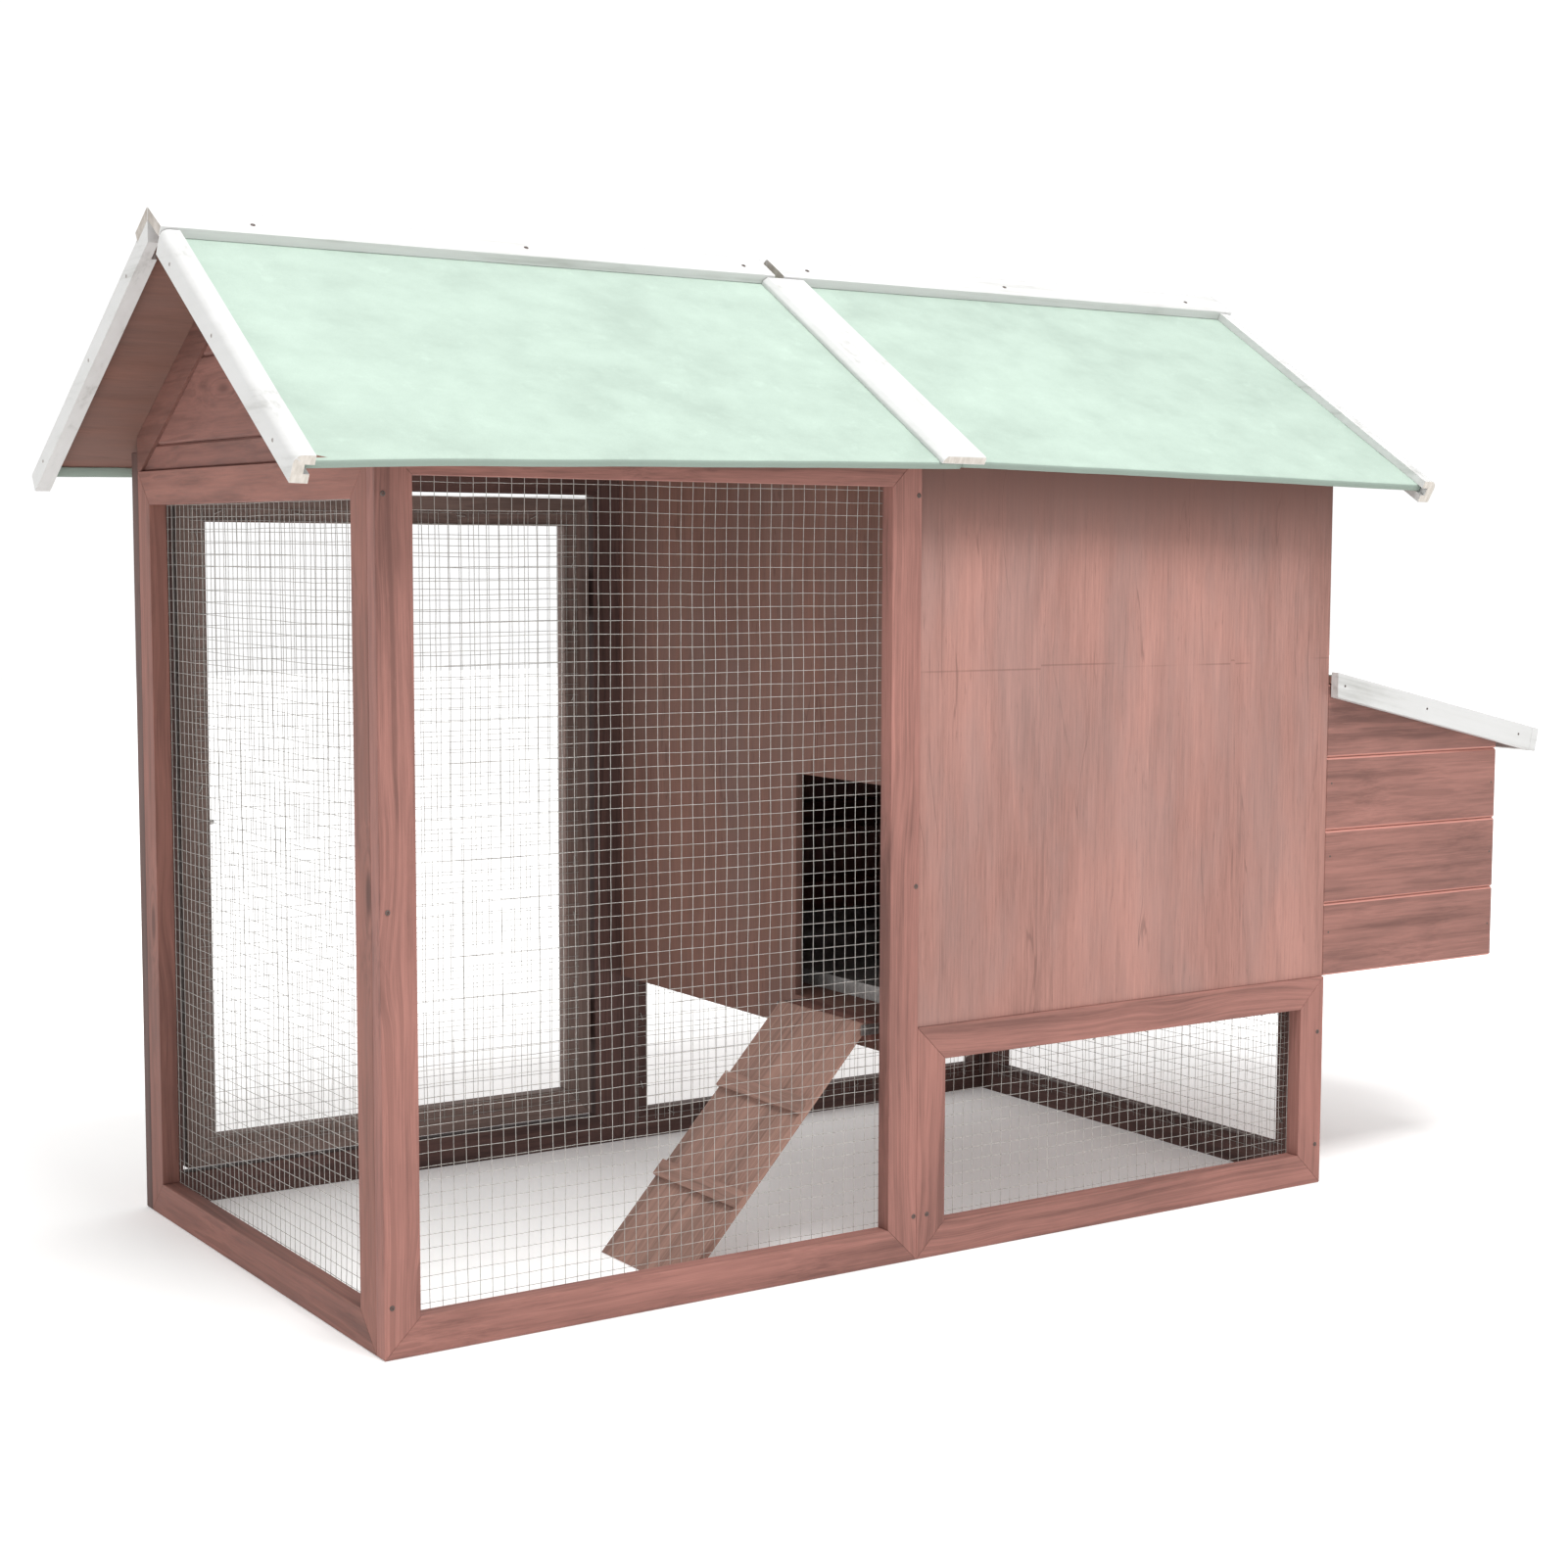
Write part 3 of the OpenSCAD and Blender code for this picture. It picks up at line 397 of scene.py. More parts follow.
def white_paint(name, grain, turn=0.0, seed=0.0, bare_ends=None, level=0.60):
    """White painted wood. Its cut ends are bare where they face down the "slope" or along "x"."""
    shader = Shader(name)
    base = shader.mapped(grain_coords(shader, grain, turn), place=(seed, seed * 2, seed * 3))
    streaks = shader.patches(base, (3, 110, 110), detail=4, rough=0.65)
    fibres = shader.patches(base, (16, 700, 700))
    grime = shader.patches(base, (7, 22, 22), detail=5, rough=0.6)
    worn = (0.72 * level, 0.72 * level, 0.69 * level)
    full = (level, level, 0.985 * level)
    bright = (1.06 * level, 1.06 * level, 1.05 * level)
    tone = shader.weighted(streaks, 0.5, grime, 0.5)
    colour = shader.tone_ramp(tone, (0.32, 0.46, 0.62), (worn, full, bright))
    nick = shader.span(shader.patches(base, (26, 130, 130), detail=5, rough=0.8), 0.66, 0.76)
    colour = shader.mix(shader.times(nick, 0.40), colour, (0.45, 0.40, 0.35))
    if bare_ends:
        normal = shader.axes(shader.coords.outputs["Normal"])
        if bare_ends == "slope":
            sideways = shader.times(shader.math("ABSOLUTE", normal["Y"]), math.cos(SLOPE))
            facing = shader.math("SUBTRACT", sideways, shader.times(normal["Z"], math.sin(SLOPE)))
            end_tones = ((0.50, 0.46, 0.41), (0.62, 0.58, 0.53))
        else:
            facing = shader.math("ABSOLUTE", normal["X"])
            end_tones = ((0.36, 0.32, 0.28), (0.52, 0.48, 0.44))
        end_rings = shader.patches(shader.coords.outputs["Object"], (260, 90, 90), detail=3)
        end_colour = shader.tone_ramp(end_rings, (0.35, 0.65), end_tones)
        colour = shader.mix(shader.span(facing, 0.90, 0.95), colour, end_colour)
    roughness = shader.span(streaks, 0.3, 0.7, 0.42, 0.60)
    height = shader.weighted(fibres, 0.3, streaks, 0.7)
    return shader.finish(colour, roughness, height, strength=0.35, depth=0.4 * MM)


def felt(name):
    """Pale green mineral felt: fine granules, soft chalky patches, and painted shade on the folded edge,
    where it turns away from above.
    """
    shader = Shader(name)
    base = shader.coords.outputs["Object"]
    cloud = shader.noise(base, scale=7, detail=5, rough=0.6)
    smear = shader.patches(base, (17, 21, 21), detail=5, rough=0.65, place=(2, 1, 0))
    granules = shader.noise(base, scale=900, detail=2, rough=0.8)
    tones = [shaded(FELT_GREEN, share) for share in (0.88, 1, 1.10)]
    colour = shader.tone_ramp(shader.weighted(cloud, 0.55, smear, 0.45), (0.36, 0.50, 0.64), tones)
    colour = shader.mix(shader.span(granules, 0.35, 0.65, 0.0, 0.20), colour, shaded(FELT_GREEN, 0.72))
    chalk = shader.span(shader.noise(base, scale=30, detail=6, rough=0.7), 0.56, 0.74)
    colour = shader.mix(shader.times(chalk, 0.22), colour, shaded(FELT_GREEN, 1.35))
    scrape = shader.span(shader.patches(base, (60, 14, 14), detail=5, rough=0.75), 0.66, 0.76)
    colour = shader.mix(shader.times(scrape, 0.25), colour, shaded(FELT_GREEN, 0.70))
    # painted shade: faces that turn away from above, the fold and underside, are darker
    upward = shader.axes(shader.coords.outputs["Normal"])["Z"]
    colour = shader.mix(shader.span(upward, 0.42, 0.10, 0.0, 0.80), colour, shaded(FELT_GREEN, 0.55))
    roughness = shader.span(granules, 0.3, 0.7, 0.82, 0.96)
    height = shader.weighted(granules, 0.7, cloud, 0.6)
    return shader.finish(colour, roughness, height, strength=0.5, depth=0.6 * MM, specular=0.15)


def galvanised(name, tone=(0.66, 0.67, 0.66), rough=0.42, metallic=0.85):
    """Zinc coated steel with spangle, dull patches and specks of darker corrosion."""
    shader = Shader(name)
    base = shader.coords.outputs["Object"]
    spangle = shader.cells(base, scale=240)
    cloud = shader.noise(base, scale=35, detail=4, rough=0.6)
    tones = [shaded(tone, share) for share in (0.72, 1, 1.2)]
    colour = shader.tone_ramp(shader.weighted(spangle, 0.4, cloud, 0.7), (0.30, 0.55, 0.80), tones)
    specks = shader.span(shader.noise(base, scale=160, detail=4, rough=0.7), 0.66, 0.74)
    colour = shader.mix(shader.times(specks, 0.35), colour, shaded(tone, 0.75))
    roughness = shader.span(cloud, 0.3, 0.7, rough - 0.08, rough + 0.14)
    return shader.finish(colour, roughness, cloud, strength=0.15, depth=0.2 * MM, metallic=metallic,
                         specular=0.5)


def floor_material():
    """Pale floor that glows, faintly under the coop and more away from it: painted light that lifts its
    shadows, so that it meets the background without a line.
    """
    shader = Shader("studio_floor")
    base = shader.coords.outputs["Object"]
    cloud = shader.noise(base, scale=1.3, detail=4)
    colour = shader.tone_ramp(cloud, (0.3, 0.7), ((0.90, 0.898, 0.89), (0.92, 0.918, 0.91)))
    length = shader.add("ShaderNodeVectorMath", operation="LENGTH")
    shader.put(length.inputs[0], base)
    # painted light: the floor glows, more with distance from the coop
    glow = shader.span(length.outputs["Value"], 0.72, 1.9, 0.20, 0.50)
    shader.put(shader.bsdf.inputs["Emission Strength"], glow)
    shader.bsdf.inputs["Emission Color"].default_value = (1, 1, 1, 1)
    return shader.finish(colour, 0.9, specular=0.05)


STAIN = shades((0.290, 0.134, 0.111))
# A darker copy of the stain: painted shade for the end frames, the rear stiles and the run door, which face
# away from the light
STAIN_END = shades((0.240, 0.108, 0.086))
# A darker copy of the stain: painted shade for the framing, bearers, rafters and battens inside and under
# the coop
STAIN_IN_SHADE = shades((0.172, 0.078, 0.062))
STAIN_NEST = shades((0.262, 0.124, 0.103))
# A darker copy of the stain: painted shade for the gable boards under the overhang
STAIN_GABLE = shades((0.212, 0.096, 0.078))
STAIN_RAMP = shades((0.300, 0.175, 0.138))
STAIN_PLY = shades((0.340, 0.176, 0.147), 0.28)
# A darker copy of the plywood stain: painted shade for the divider, floors, lid and the roof boards'
# undersides
STAIN_PLY_IN_SHADE = shades((0.205, 0.104, 0.080), 0.22)
REARWARD = (0, 1, 0)
# Tints for faces that don't look outwards, painted shade: darker, and greyer for the unlit inside of the
# run door
SHADED = (0.40, 0.48, 0.50)
GREY_SHADE = (0.80, 1.25, 1.35)
FELT_GREEN = (0.410, 0.505, 0.440)


# ---------------------------------------------------------------- mesh building

def new_object(name, vertices, faces, material, body, smooth=False):
    """Adds a visible piece that moves with the body."""
    mesh = bpy.data.meshes.new(name)
    mesh.from_pydata([tuple(v) for v in vertices], [], faces)
    mesh.update()
    made = bpy.data.objects.new(name, mesh)
    scene.collection.objects.link(made)
    made.data.materials.append(material)
    for polygon in mesh.polygons:
        polygon.use_smooth = smooth
    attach(made, body)
    return made


def soften(thing, width, segments=2, angle=35):
    """Rounds the edges of a CAD node with modifiers only."""
    weld = thing.modifiers.new("weld", "WELD")
    weld.merge_threshold = 0.01 * MM
    bevel = thing.modifiers.new("round", "BEVEL")
    bevel.width = width
    bevel.segments = segments
    bevel.limit_method = "ANGLE"
    bevel.angle_limit = math.radians(angle)
    bevel.use_clamp_overlap = True
    even = thing.modifiers.new("even", "WEIGHTED_NORMAL")
    even.keep_sharp = False


def dress(node, material, width=0.8 * MM, segments=2, angle=35):
    """Gives a CAD node its material, and rounded edges of the width."""
    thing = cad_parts[node]
    thing.data.materials.clear()
    thing.data.materials.append(material)
    if width:
        soften(thing, width, segments, angle)


def at(x, y, z):
    """A point given from the base's front left corner."""
    return CORNER + Vector((x, y, z))


def slope_matrix(rear=False):
    """Takes (x, down the slope, above the boards' underside) to the frame."""
    side = -1 if rear else 1
    level = Vector((1, 0, 0))
    down = Vector((0, -side * math.cos(SLOPE), -math.sin(SLOPE)))
    out = Vector((0, -side * math.sin(SLOPE), math.cos(SLOPE)))
    matrix = Matrix((level, down, out)).transposed().to_4x4()
    matrix.translation = at(0, BASE_DEPTH / 2, APEX_Z)
    return matrix


def lid_matrix():
    """Takes (along the lid's fall, y, above the pin) to the frame."""
    matrix = Matrix.Rotation(LID_FALL, 4, "Y")
    matrix.translation = at(*LID_AXIS)
    return matrix


def wander(position, size, seed):
    """A smooth value between -1 and 1 that depends on a place."""
    return noise.noise(Vector((position[0], position[1], seed)) / size)


def tube(vertices, faces, path, radius, sides=6):
    """Adds a round wire along a list of points, with closed ends."""
    start = len(vertices)
    count = len(path)
    across = None
    for i, point in enumerate(path):
        ahead = (path[min(i + 1, count - 1)] - path[max(i - 1, 0)]).normalized()
        if across is None:
            across = ahead.orthogonal().normalized()
        else:
            across = (across - ahead * across.dot(ahead)).normalized()
        beside = ahead.cross(across)
        for k in range(sides):
            turn = 2 * math.pi * k / sides
            vertices.append(point + radius * (math.cos(turn) * across + math.sin(turn) * beside))
    for i in range(count - 1):
        for k in range(sides):
            a = start + i * sides + k
            b = start + i * sides + (k + 1) % sides
            faces.append((a, b, b + sides, a + sides))
    last = start + (count - 1) * sides
    faces.append(tuple(start + k for k in reversed(range(sides))))
    faces.append(tuple(last + k for k in range(sides)))


def staple_spots(width, height, picker):
    """Uneven places round a panel's edge, as (along it, up it, whether that edge is level)."""
    spots = []
    for is_level, length, other in ((True, width, height), (False, height, width)):
        count = int(length / STAPLE_PITCH)
        for edge in (STAPLE_MARGIN, other - STAPLE_MARGIN):
            for j in range(count):
                way = (j + 0.5 + picker.uniform(-0.2, 0.2)) * length / count
                spots.append((way, edge, True) if is_level else (edge, way, False))
    return spots


def wire_panel(node, body, material, seed, inward):
    """Welded wire with a slightly buckled weave, and staples round its edge, in place of a CAD mesh.

    inward is the direction of the panel's far side, on which the level wires and the staples lie."""
    low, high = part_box(node)
    size = high - low
    thin = min(range(3), key=lambda k: size[k])
    level = 1 - thin
    width, height = size[level], size.z
    columns = int(width / WIRE_PITCH)
    rows = int(height / WIRE_PITCH)
    side = (width - columns * WIRE_PITCH) / 2
    foot = (height - rows * WIRE_PITCH) / 2
    near = low[thin] if inward > 0 else high[thin]

    def spot(u, v, out):
        """The point at u along the panel, v up it, and out from its near face."""
        point = Vector((0, 0, low.z + v))
        point[level] = low[level] + u
        point[thin] = near + inward * out
        return point

    def on_wire(u, v, layer):
        """The middle of a wire, moved by the buckling, which fades out towards the panel's edge."""
        from_edge = min(u, width - u, v, height - v)
        loose = min(1, max(0, (from_edge - 0.012) / 0.05))
        bulge = loose * (1.6 * MM * wander((u, v), 0.16, seed) + 0.6 * MM)
        drift_u = 1.3 * MM * wander((u, v), 0.13, seed + 5) + 0.5 * MM * wander((u, v), 0.03, seed + 9)
        drift_v = 1.3 * MM * wander((u, v), 0.13, seed + 7) + 0.5 * MM * wander((u, v), 0.03, seed + 11)
        out = WIRE_D / 2 + 0.05 * MM + layer * 0.92 * WIRE_D + max(0, bulge)
        return spot(u + drift_u, v + drift_v, out)

    across = [side + i * WIRE_PITCH for i in range(columns + 1)]
    up = [foot + k * WIRE_PITCH for k in range(rows + 1)]
    vertices, faces = [], []
    for u in across:
        tube(vertices, faces, [on_wire(u, v, 0) for v in [0.0] + up + [height]], WIRE_D / 2)
    for v in up:
        tube(vertices, faces, [on_wire(u, v, 1) for u in [0.0] + across + [width]], WIRE_D / 2)
    panel = new_object(node + "_wires", vertices, faces, material, body, smooth=True)
    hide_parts(node)

    vertices, faces = [], []
    picker = random.Random(seed)
    low_out = 0.2 * WIRE_D
    top_out = 2.6 * WIRE_D
    bent_out = 0.8 * top_out
    shape = ((-1, low_out), (-1, bent_out), (-0.85, top_out), (0.85, top_out), (1, bent_out), (1, low_out))
    for u, v, is_level in staple_spots(width, height, picker):
        lean = picker.uniform(-0.5, 0.5)
        along = (math.cos(lean), math.sin(lean)) if is_level else (math.sin(lean), math.cos(lean))
        path = []
        for share, out in shape:
            way = share * STAPLE_W / 2
            path.append(spot(u + along[0] * way, v + along[1] * way, out))
        tube(vertices, faces, path, STAPLE_D / 2)
    staples = new_object(node + "_staples", vertices, faces, material, body, smooth=True)


def felt_sheet(name, matrix, left, right, seed, body, material, sag=0.0):
    """A felt sheet with slight waves, folded round the lower edge of its board and lapped underneath.

    left and right are (x at the cap, length down the slope, lean per length).
    sag lowers its left corner."""
    columns, rows, folds = 90, 26, 6
    top_n = ROOF_T + FELT_T
    under_n = -FELT_T * 0.95
    fold_r = 3.6 * MM
    lap = 20 * MM
    sag_share = 0.30
    sag_start = 0.8
    vertices = []
    for i in range(columns + 1):
        share = i / columns
        x_top, length, lean = (a + (b - a) * share for a, b in zip(left, right))
        middle = 4 * share * (1 - share)
        wave = 0.9 * MM * wander((x_top, 0), 0.11, seed) + 0.5 * MM * wander((x_top, 0), 0.035, seed + 3)
        edge = length + wave - 1.2 * MM * middle
        drop = sag * max(0, 1 - share / sag_share) ** 2
        profile = []
        for k in range(rows + 1):
            s = (edge - fold_r) * k / rows
            profile.append((s, top_n + 0.22 * MM * wander((x_top, s), 0.07, seed + 1)))
        for k in range(1, folds + 1):
            turn = math.pi / 2 * k / folds
            profile.append((edge - fold_r * (1 - math.sin(turn)), top_n - fold_r * (1 - math.cos(turn))))
        ragged = 1.5 * MM * wander((x_top, 0), 0.02, seed + 8)
        profile.append((edge, under_n + 1.6 * MM))
        profile.append((edge - 0.8 * MM, under_n + 0.3 * MM))
        profile.append((edge - 2.5 * MM, under_n))
        profile.append((edge - lap + ragged, under_n))
        for s, n in profile:
            x = x_top - (s - CAP_EDGE_S) * lean
            bend = drop * max(0, (s / edge - sag_start) / (1 - sag_start)) ** 2
            vertices.append(matrix @ Vector((x, s + 0.4 * bend, n - bend)))
    per = len(profile)
    faces = []
    for i in range(columns):
        for k in range(per - 1):
            a = i * per + k
            faces.append((a, a + 1, a + per + 1, a + per))
    sheet = new_object(name, vertices, faces, material, body, smooth=True)
    thick = sheet.modifiers.new("thickness", "SOLIDIFY")
    thick.thickness = FELT_T * 0.8
    thick.offset = -1
    return sheet


def outward(mesh_object, direction):
    """Turns a sheet's faces so that most of them face a direction."""
    total = sum((p.normal * p.area for p in mesh_object.data.polygons), Vector())
    if total.dot(direction) < 0:
        mesh_object.data.flip_normals()


def screw_mesh(radius, height, recess):
    """A screw head with a cross recess, its face towards +Z."""
    shape = bmesh.new()
    sides = 28
    pit_depth = 1.3 * radius * 0.45
    turns = [2 * math.pi * k / sides for k in range(sides)]
    rim = [shape.verts.new((radius * math.cos(turn), radius * math.sin(turn), 0)) for turn in turns]
    brow = [shape.verts.new((v.co.x * 0.90, v.co.y * 0.90, height * 0.75)) for v in rim]
    top = [shape.verts.new((v.co.x * 0.72, v.co.y * 0.72, height)) for v in rim]
    arm, half = recess, recess * 0.22
    outline = [(half, half), (half, arm), (-half, arm), (-half, half), (-arm, half), (-arm, -half),
               (-half, -half), (-half, -arm), (half, -arm), (half, -half), (arm, -half), (arm, half)]
    cross = [shape.verts.new((x, y, height)) for x, y in outline]
    pit = [shape.verts.new((x * 0.55, y * 0.55, height - pit_depth)) for x, y in outline]
    for a, b in ((rim, brow), (brow, top), (cross, pit)):
        for k in range(len(a)):
            j = (k + 1) % len(a)
            shape.faces.new((a[k], a[j], b[j], b[k]))
    shape.faces.new(pit)
    edges = []
    for loop in (top, cross):
        for k in range(len(loop)):
            pair = (loop[k], loop[(k + 1) % len(loop)])
            edges.append(shape.edges.get(pair) or shape.edges.new(pair))
    bmesh.ops.triangle_fill(shape, use_beauty=True, edges=edges)
    bmesh.ops.recalc_face_normals(shape, faces=shape.faces)
    mesh = bpy.data.meshes.new("screw_head")
    shape.to_mesh(mesh)
    shape.free()
    return mesh


def set_heads(name, body, spots, radius, height, material, seed, recess=0.62):
    """Sets screw or nail heads at (place, outward direction) pairs, as one piece."""
    mould = screw_mesh(radius, height, radius * recess)
    coords = [v.co.copy() for v in mould.vertices]
    polygons = [tuple(p.vertices) for p in mould.polygons]
    bpy.data.meshes.remove(mould)
    picker = random.Random(seed)
    vertices, faces = [], []
    for place, direction in spots:
        facing = Vector(direction).normalized().to_track_quat("Z", "Y").to_matrix()
        turn = facing @ Matrix.Rotation(picker.uniform(0, math.pi), 3, "Z")
        start = len(vertices)
        vertices += [place + turn @ c for c in coords]
        faces += [tuple(start + k for k in p) for p in polygons]
    heads = new_object(name, vertices, faces, material, body)
    return heads


# ---------------------------------------------------------------- timber and sheets

def dress_timber():
    upright = wood("stained_upright", "Z", STAIN, seed=1)
    upright_b = wood("stained_upright_b", "Z", STAIN_END, seed=6)
    level_x = wood("stained_level_x", "X", STAIN, seed=2)
    level_y = wood("stained_level_y", "Y", STAIN_END, seed=3)
    # painted shade: darker copies of the stain for parts inside and under the coop
    shade_x = wood("stain_in_shade_x", "X", STAIN_IN_SHADE, seed=4)
    shade_y = wood("stain_in_shade_y", "Y", STAIN_IN_SHADE, seed=5)
    shade_z = wood("stain_in_shade_z", "Z", STAIN_IN_SHADE, seed=7)
    # painted shade on the rear frames' faces that don't look rearward
    inner_x = wood("shaded_level", "X", STAIN, seed=21, inner=(REARWARD, SHADED))
    inner_z = wood("shaded_upright", "Z", STAIN, seed=22, inner=(REARWARD, SHADED))
    # greyer painted shade on the run door's faces that don't look rearward
    grey_x = wood("grey_shade_level", "X", STAIN_END, seed=8, knots=0.5, inner=(REARWARD, GREY_SHADE))
    grey_z = wood("grey_shade_upright", "Z", STAIN_END, seed=9, knots=0.5, inner=(REARWARD, GREY_SHADE))
    for node, material in (
        ("run_front_stiles", upright), ("run_front_rails", level_x),
        ("run_end_stiles", upright_b), ("run_end_rails", level_y),
        ("run_rear_stiles", inner_z), ("run_rear_rails", inner_x),
        ("run_door_stiles", grey_z), ("run_door_rails", grey_x),
        ("house_rear_stiles", upright_b), ("house_rear_rails", level_x),
        ("house_framing", shade_z), ("house_door_ledges", shade_x), ("floor_bearers", shade_y),
        ("gable_rafters", wood("stained_rafters", "Y", STAIN_IN_SHADE, seed=10)),
        ("gable_boards", wood("stained_gable", "Y", STAIN_GABLE, seed=11)),
        # the nest boards get a painted highlight on their chamfers
        ("nest_side_boards", wood("stained_nest_side", "X", STAIN_NEST, seed=12, knots=1.5, chamfer_highlight=0.6)),
        ("nest_end_boards", wood("stained_nest_end", "Y", STAIN_NEST, seed=13, knots=1.5, chamfer_highlight=0.6)),
        ("nest_corner_battens", shade_z), ("ramp_ledge", shade_y),
        ("ramp_cleats", wood("stained_cleats", "Y", STAIN_RAMP, seed=15)),
    ):
        dress(node, material)
    dress("ramp_board", wood("stained_ramp", "X", STAIN_RAMP, seed=14, turn=RAMP_FALL), 0.8 * MM, angle=50)
    # the rear and end base frames get painted shade on faces that don't look outwards
    for node, grain, seed, inner in (
        ("base_front_frame", "X", 16, None),
        ("base_rear_frame", "X", 17, (REARWARD, SHADED)),
        ("base_end_frame", "Y", 18, ((1, 0, 0), SHADED)),
    ):
        dress(node, wood("stained_" + node, grain, STAIN, seed=seed, frame_box=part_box(node), inner=inner))


def dress_sheets():
    # the front panel gets a painted eave shadow at its top
    front = plywood("plywood_front", "Z", STAIN_PLY, seed=1, rail_line=HOUSE_RAIL_Z,
                    post_line=at(HOUSE_POST_X, 0, 0).x, eave=WALL_H - 0.02)
    dress("house_front_panel", front, 0.5 * MM)
    dress("house_door_panel", plywood("plywood_door", "Z", STAIN_PLY, seed=2), 0.8 * MM)
    dress("house_end_panel", plywood("plywood_end", "Z", STAIN_PLY, seed=3), 0.5 * MM)
    dress("divider_panel", plywood("plywood_divider", "Z", STAIN_PLY_IN_SHADE, seed=4), 0.5 * MM)
    dress("house_floor", plywood("plywood_floor", "Y", STAIN_PLY_IN_SHADE, seed=5), 0.4 * MM)
    dress("nest_floor", plywood("plywood_nest_floor", "Y", STAIN_PLY_IN_SHADE, seed=6), 0.4 * MM)
    dress("nest_lid_panel", plywood("plywood_lid", "X", STAIN_PLY_IN_SHADE, seed=7), 0.4 * MM)
    roof = plywood("plywood_roof", "X", STAIN_PLY_IN_SHADE, seed=8)
    dress("roof_run_boards", roof, 2.4 * MM, 3)
    dress("roof_house_boards", roof, 2.4 * MM, 3)


def dress_trim():
    dress("ridge_caps", white_paint("white_caps", "X", seed=1, bare_ends="x"), 1.0 * MM)
    dress("barge_boards", white_paint("white_barges", "Y", seed=2, bare_ends="slope"), 1.2 * MM)
    dress("seam_battens", white_paint("white_battens", "Y", seed=3, bare_ends="slope"), 1.4 * MM)
    lid_trim = white_paint("white_lid_trim", "X", turn=-LID_FALL, seed=4, level=0.55)
    dress("nest_lid_trim", lid_trim, 0.8 * MM)


def dress_metal():
    zinc = galvanised("zinc_plate")
    for node in ("run_door_hinge_leaves", "house_door_hinge_leaves", "door_hinge_frame_leaves", "bolt_base",
                 "bolt_rod", "bolt_keeper", "turn_button", "turn_button_screw", "nest_hinge_lid_leaves",
                 "nest_hinge_wall_leaves"):
        dress(node, zinc, 0.35 * MM, angle=40)
    # painted shade: the ramp's pin and brackets are dark, standing in for the shade at the ramp's top
    bracket_steel = galvanised("bracket_steel_in_shade", tone=(0.22, 0.20, 0.19), rough=0.5, metallic=0.6)
    for node in ("ramp_pin", "ramp_brackets"):
        dress(node, bracket_steel, 0.2 * MM, angle=40)
    tray = galvanised("zinc_tray", tone=(0.52, 0.51, 0.50), rough=0.5, metallic=0.35)
    dress("droppings_tray", tray, 0.3 * MM)


def hang_wire():
    zinc = galvanised("zinc_wire", tone=(0.41, 0.395, 0.37), rough=0.5, metallic=0.3)
    panels = (
        ("run_front_mesh", "coop", 1),
        ("run_end_mesh", "coop", 1),
        ("run_door_mesh", "run_door", -1),
        ("base_front_mesh", "coop", 1),
        ("base_rear_mesh", "coop", -1),
        ("base_end_mesh", "coop", -1),
    )
    for seed, (node, body, inward) in enumerate(panels, start=1):
        wire_panel(node, body, zinc, seed, inward)


def lay_felt():
    material = felt("roof_felt")
    cover = TIMBER_T - 7 * MM  # the part of a barge board that is clear of the felt in its groove
    left_x = -OVERHANG_LEFT + cover
    right_x = BASE_LEN + OVERHANG_RIGHT - cover
    run_seam_x = SEAM_X - MM
    house_seam_x = SEAM_X + MM
    run_front = ((left_x, RUN_END_LEN, RUN_LEAN), (run_seam_x, RUN_SEAM_LEN, 0))
    run_rear = ((left_x, REAR_LEN, 0), (run_seam_x, REAR_LEN, 0))
    house_front = ((house_seam_x, HOUSE_SEAM_LEN, 0), (right_x, HOUSE_END_LEN, HOUSE_LEAN))
    house_rear = ((house_seam_x, REAR_LEN, 0), (right_x, REAR_LEN, 0))
    sheets = (
        ("felt_run_front", "roof_run_felt", False, run_front, 2.0 * MM),
        ("felt_run_rear", "roof_run_felt", True, run_rear, 1.0 * MM),
        ("felt_house_front", "roof_house_felt", False, house_front, 0),
        ("felt_house_rear", "roof_house_felt", True, house_rear, 0),
    )
    for seed, (name, node, rear, (left, right), sag) in enumerate(sheets, start=1):
        sheet = felt_sheet(name, slope_matrix(rear), left, right, seed, "coop", material, sag)
        outward(sheet, Vector((0, 0, 1)))
        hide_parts(node)
    dress("nest_lid_felt", material, 0)


# ---------------------------------------------------------------- fixings

def frame_screws(steel):
    """Screws in the corners of the frames and along the ridge caps."""
    spots = []
    for x, heights in (
        (0.008, (0.051, 0.433, 0.826)),
        (RUN_LEN - 0.004, (0.049, 0.414, 0.835)),
        (RUN_LEN + 0.014, (0.049,)),
        (BASE_LEN - 0.009, (0.049, 0.190)),
    ):
        for z in heights:
            spots.append((at(x, 0, z), (0, -1, 0)))
            spots.append((at(x, BASE_DEPTH, z), (0, 1, 0)))
    for rear in (False, True):
        matrix = slope_matrix(rear)
        for x in (0.010, 0.320, SEAM_X - 0.048, SEAM_X + 0.040, 0.980, BASE_LEN + 0.040):
            place = matrix @ Vector((x, CAP_EDGE_S - 0.020, CAP_TOP_N))
            spots.append((place, matrix.to_3x3() @ Vector((0, 0, 1))))
    heads = set_heads("frame_screws", "coop", spots, SCREW_R, SCREW_H, steel, 1)
    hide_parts("screw_heads")


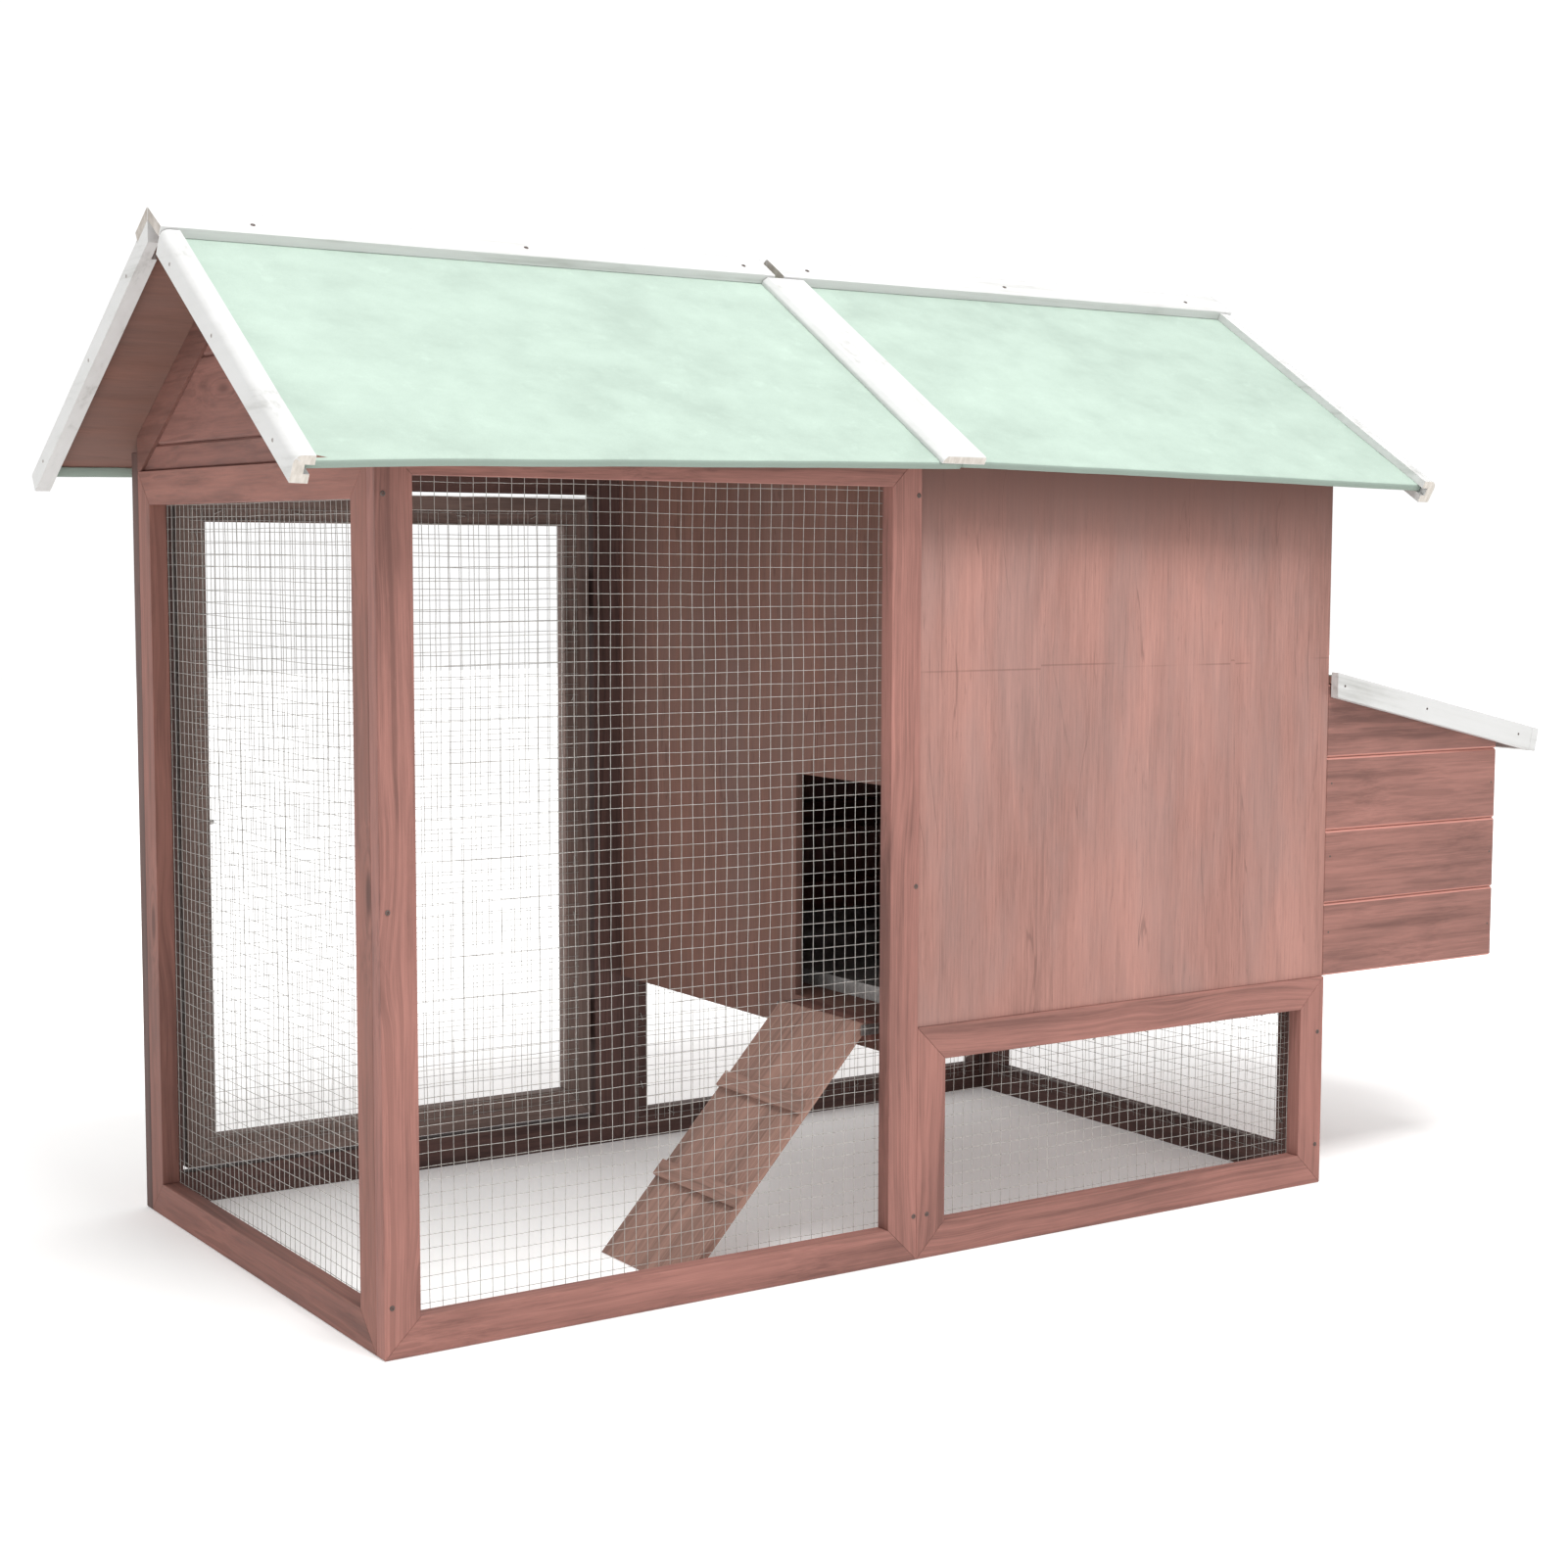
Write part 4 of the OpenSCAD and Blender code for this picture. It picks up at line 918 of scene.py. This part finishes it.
def barge_screws():
    """Screws in the outer faces of the barge boards, which lean on the front half of the roof."""
    spots = []
    for rear in (False, True):
        matrix = slope_matrix(rear)
        for s in (0.080, 0.232, 0.433):
            for x, lean, side in ((-OVERHANG_LEFT, RUN_LEAN, -1),
                                  (BASE_LEN + OVERHANG_RIGHT, HOUSE_LEAN, 1)):
                shift = 0 if rear else (CAP_EDGE_S - s) * lean
                spots.append((matrix @ Vector((x + shift, s, 0)), (side, 0, 0)))
    worn = galvanised("painted_screw", tone=(0.34, 0.31, 0.29), rough=0.5, metallic=0.3)
    set_heads("barge_screws", "coop", spots, 0.75 * SCREW_R, 0.4 * MM, worn, 7)


def leaf_screws(body, node, steel, seed, side, pins):
    """Three small screws in each door hinge leaf. pins are (x, heights) and side is where the leaf lies."""
    spots = []
    for x, heights in pins:
        for z in heights:
            for share, drift in ((0.16, -0.003), (0.5, 0.004), (0.84, -0.003)):
                centre = x + side * (LEAF_GAP + LEAF_W / 2 + drift)
                spots.append((at(centre, BASE_DEPTH + 0.002, z + share * LEAF_H), (0, 1, 0)))
    set_heads(node + "_screws", body, spots, 2.4 * MM, 0.5 * MM, steel, seed)


def lid_nails(material):
    """Nails in the strips round the lid."""
    matrix = lid_matrix()
    ahead = matrix.to_3x3() @ Vector((1, 0, 0))
    spots = []
    for s in (0.012, 0.160, 0.335):
        for y, side in ((-LID_TRIM_W, -1), (BASE_DEPTH + LID_TRIM_W, 1)):
            spots.append((matrix @ Vector((s, y, -0.015)), (0, side, 0)))
    for y in (0.02, 0.24, 0.46, 0.67):
        spots.append((matrix @ Vector((LID_LEN, y, -0.015)), ahead))
    set_heads("lid_nails", "nest_lid", spots, 1.5 * MM, 0.3 * MM, material, 5, recess=0.3)


def board_nails(material):
    """Nails in the boards of the nest box."""
    spots = []
    for z in (0.300, 0.394, 0.484):
        for y, side in ((0.002, -1), (BASE_DEPTH - 0.002, 1)):
            spots.append((at(BASE_LEN + 0.295, y, z), (0, side, 0)))
            spots.append((at(BASE_LEN + 0.008, y, z + 0.012), (0, side, 0)))
        for y in (0.020, BASE_DEPTH - 0.020):
            spots.append((at(BASE_LEN + 0.302, y, z), (1, 0, 0)))
    set_heads("board_nails", "coop", spots, 1.3 * MM, 0.25 * MM, material, 6, recess=0.3)


def drive_fixings():
    steel = galvanised("screw_steel", tone=(0.13, 0.10, 0.09), rough=0.5, metallic=0.5)
    frame_screws(steel)
    barge_screws()
    run_pins = (RUN_HINGE_X, (0.133, 0.689))
    house_pins = (HOUSE_HINGE_X, (0.415, 0.691))
    leaf_screws("run_door", "run_door_hinge_leaves", steel, 2, -1, (run_pins,))
    leaf_screws("house_door", "house_door_hinge_leaves", steel, 3, -1, (house_pins,))
    leaf_screws("coop", "door_hinge_frame_leaves", steel, 4, 1, (run_pins, house_pins))
    nails = galvanised("nail_steel", tone=(0.10, 0.08, 0.07), rough=0.55, metallic=0.4)
    lid_nails(nails)
    board_nails(nails)


# ---------------------------------------------------------------- stage

def lamp(name, place, size, power):
    """An area lamp that points at the middle of the coop."""
    data = bpy.data.lights.new(name, "AREA")
    data.shape = "RECTANGLE"
    data.size, data.size_y = size
    data.energy = power
    thing = bpy.data.objects.new(name, data)
    scene.collection.objects.link(thing)
    thing.location = place
    direction = Vector(LAMP_TARGET) - Vector(place)
    thing.rotation_mode = "QUATERNION"
    thing.rotation_quaternion = direction.to_track_quat("-Z", "Y")


def build_floor():
    half = 12
    corners = [(-half, -half, 0), (half, -half, 0), (half, half, 0), (-half, half, 0)]
    mesh = bpy.data.meshes.new("floor")
    mesh.from_pydata(corners, [], [(0, 1, 2, 3)])
    floor = bpy.data.objects.new("floor", mesh)
    scene.collection.objects.link(floor)
    floor.data.materials.append(floor_material())
    floor.location.z = -0.5 * MM


def build_world():
    """White surroundings, brighter towards the rear and the nest box than towards the front and the run."""
    world = bpy.data.worlds.new("studio")
    scene.world = world
    world.use_nodes = True
    tree = world.node_tree
    background = tree.nodes["Background"]
    background.inputs["Color"].default_value = (1, 1, 1, 1)
    coords = tree.nodes.new("ShaderNodeTexCoord")
    facing = tree.nodes.new("ShaderNodeVectorMath")
    facing.operation = "DOT_PRODUCT"
    facing.inputs[1].default_value = BRIGHT_SIDE
    level = tree.nodes.new("ShaderNodeMapRange")
    for name, value in (("From Min", -0.9), ("From Max", 0.6), ("To Min", 0.57), ("To Max", 1.02)):
        level.inputs[name].default_value = value
    tree.links.new(coords.outputs["Generated"], facing.inputs[0])
    tree.links.new(facing.outputs["Value"], level.inputs["Value"])
    tree.links.new(level.outputs["Result"], background.inputs["Strength"])


def build_stage():
    build_floor()
    build_world()
    lamp("key", (-0.3, -2.1, 4.4), (1.6, 1.4), 150)
    lamp("fill", (-4.0, -1.6, 2.0), (2.5, 2.5), 12)


def build_camera():
    """The camera at the photograph's own viewing angle."""
    forward = Vector((-math.sin(CAMERA_YAW) * math.cos(CAMERA_PITCH),
                      math.cos(CAMERA_YAW) * math.cos(CAMERA_PITCH), math.sin(CAMERA_PITCH)))
    right = Vector((math.cos(CAMERA_YAW), math.sin(CAMERA_YAW), 0))
    up = right.cross(forward)
    rolled_right = right * math.cos(CAMERA_ROLL) + up * math.sin(CAMERA_ROLL)
    rolled_up = up * math.cos(CAMERA_ROLL) - right * math.sin(CAMERA_ROLL)
    data = bpy.data.cameras.new("camera")
    data.sensor_width = 36
    data.lens = CAMERA_LENS
    data.shift_x, data.shift_y = CAMERA_SHIFT
    data.clip_end = 100
    thing = bpy.data.objects.new("camera", data)
    scene.collection.objects.link(thing)
    turned = Matrix((rolled_right, rolled_up, -forward)).transposed().to_4x4()
    turned.translation = at(*CAMERA_PLACE)
    thing.matrix_world = turned
    scene.camera = thing


def set_view():
    scene.view_settings.view_transform = "Standard"
    scene.view_settings.look = "None"
    scene.view_settings.exposure = 0.0
    scene.cycles.max_bounces = 8
    scene.cycles.use_denoising = True


dress_timber()
dress_sheets()
dress_trim()
dress_metal()
hang_wire()
lay_felt()
drive_fixings()
build_stage()
build_camera()
set_view()
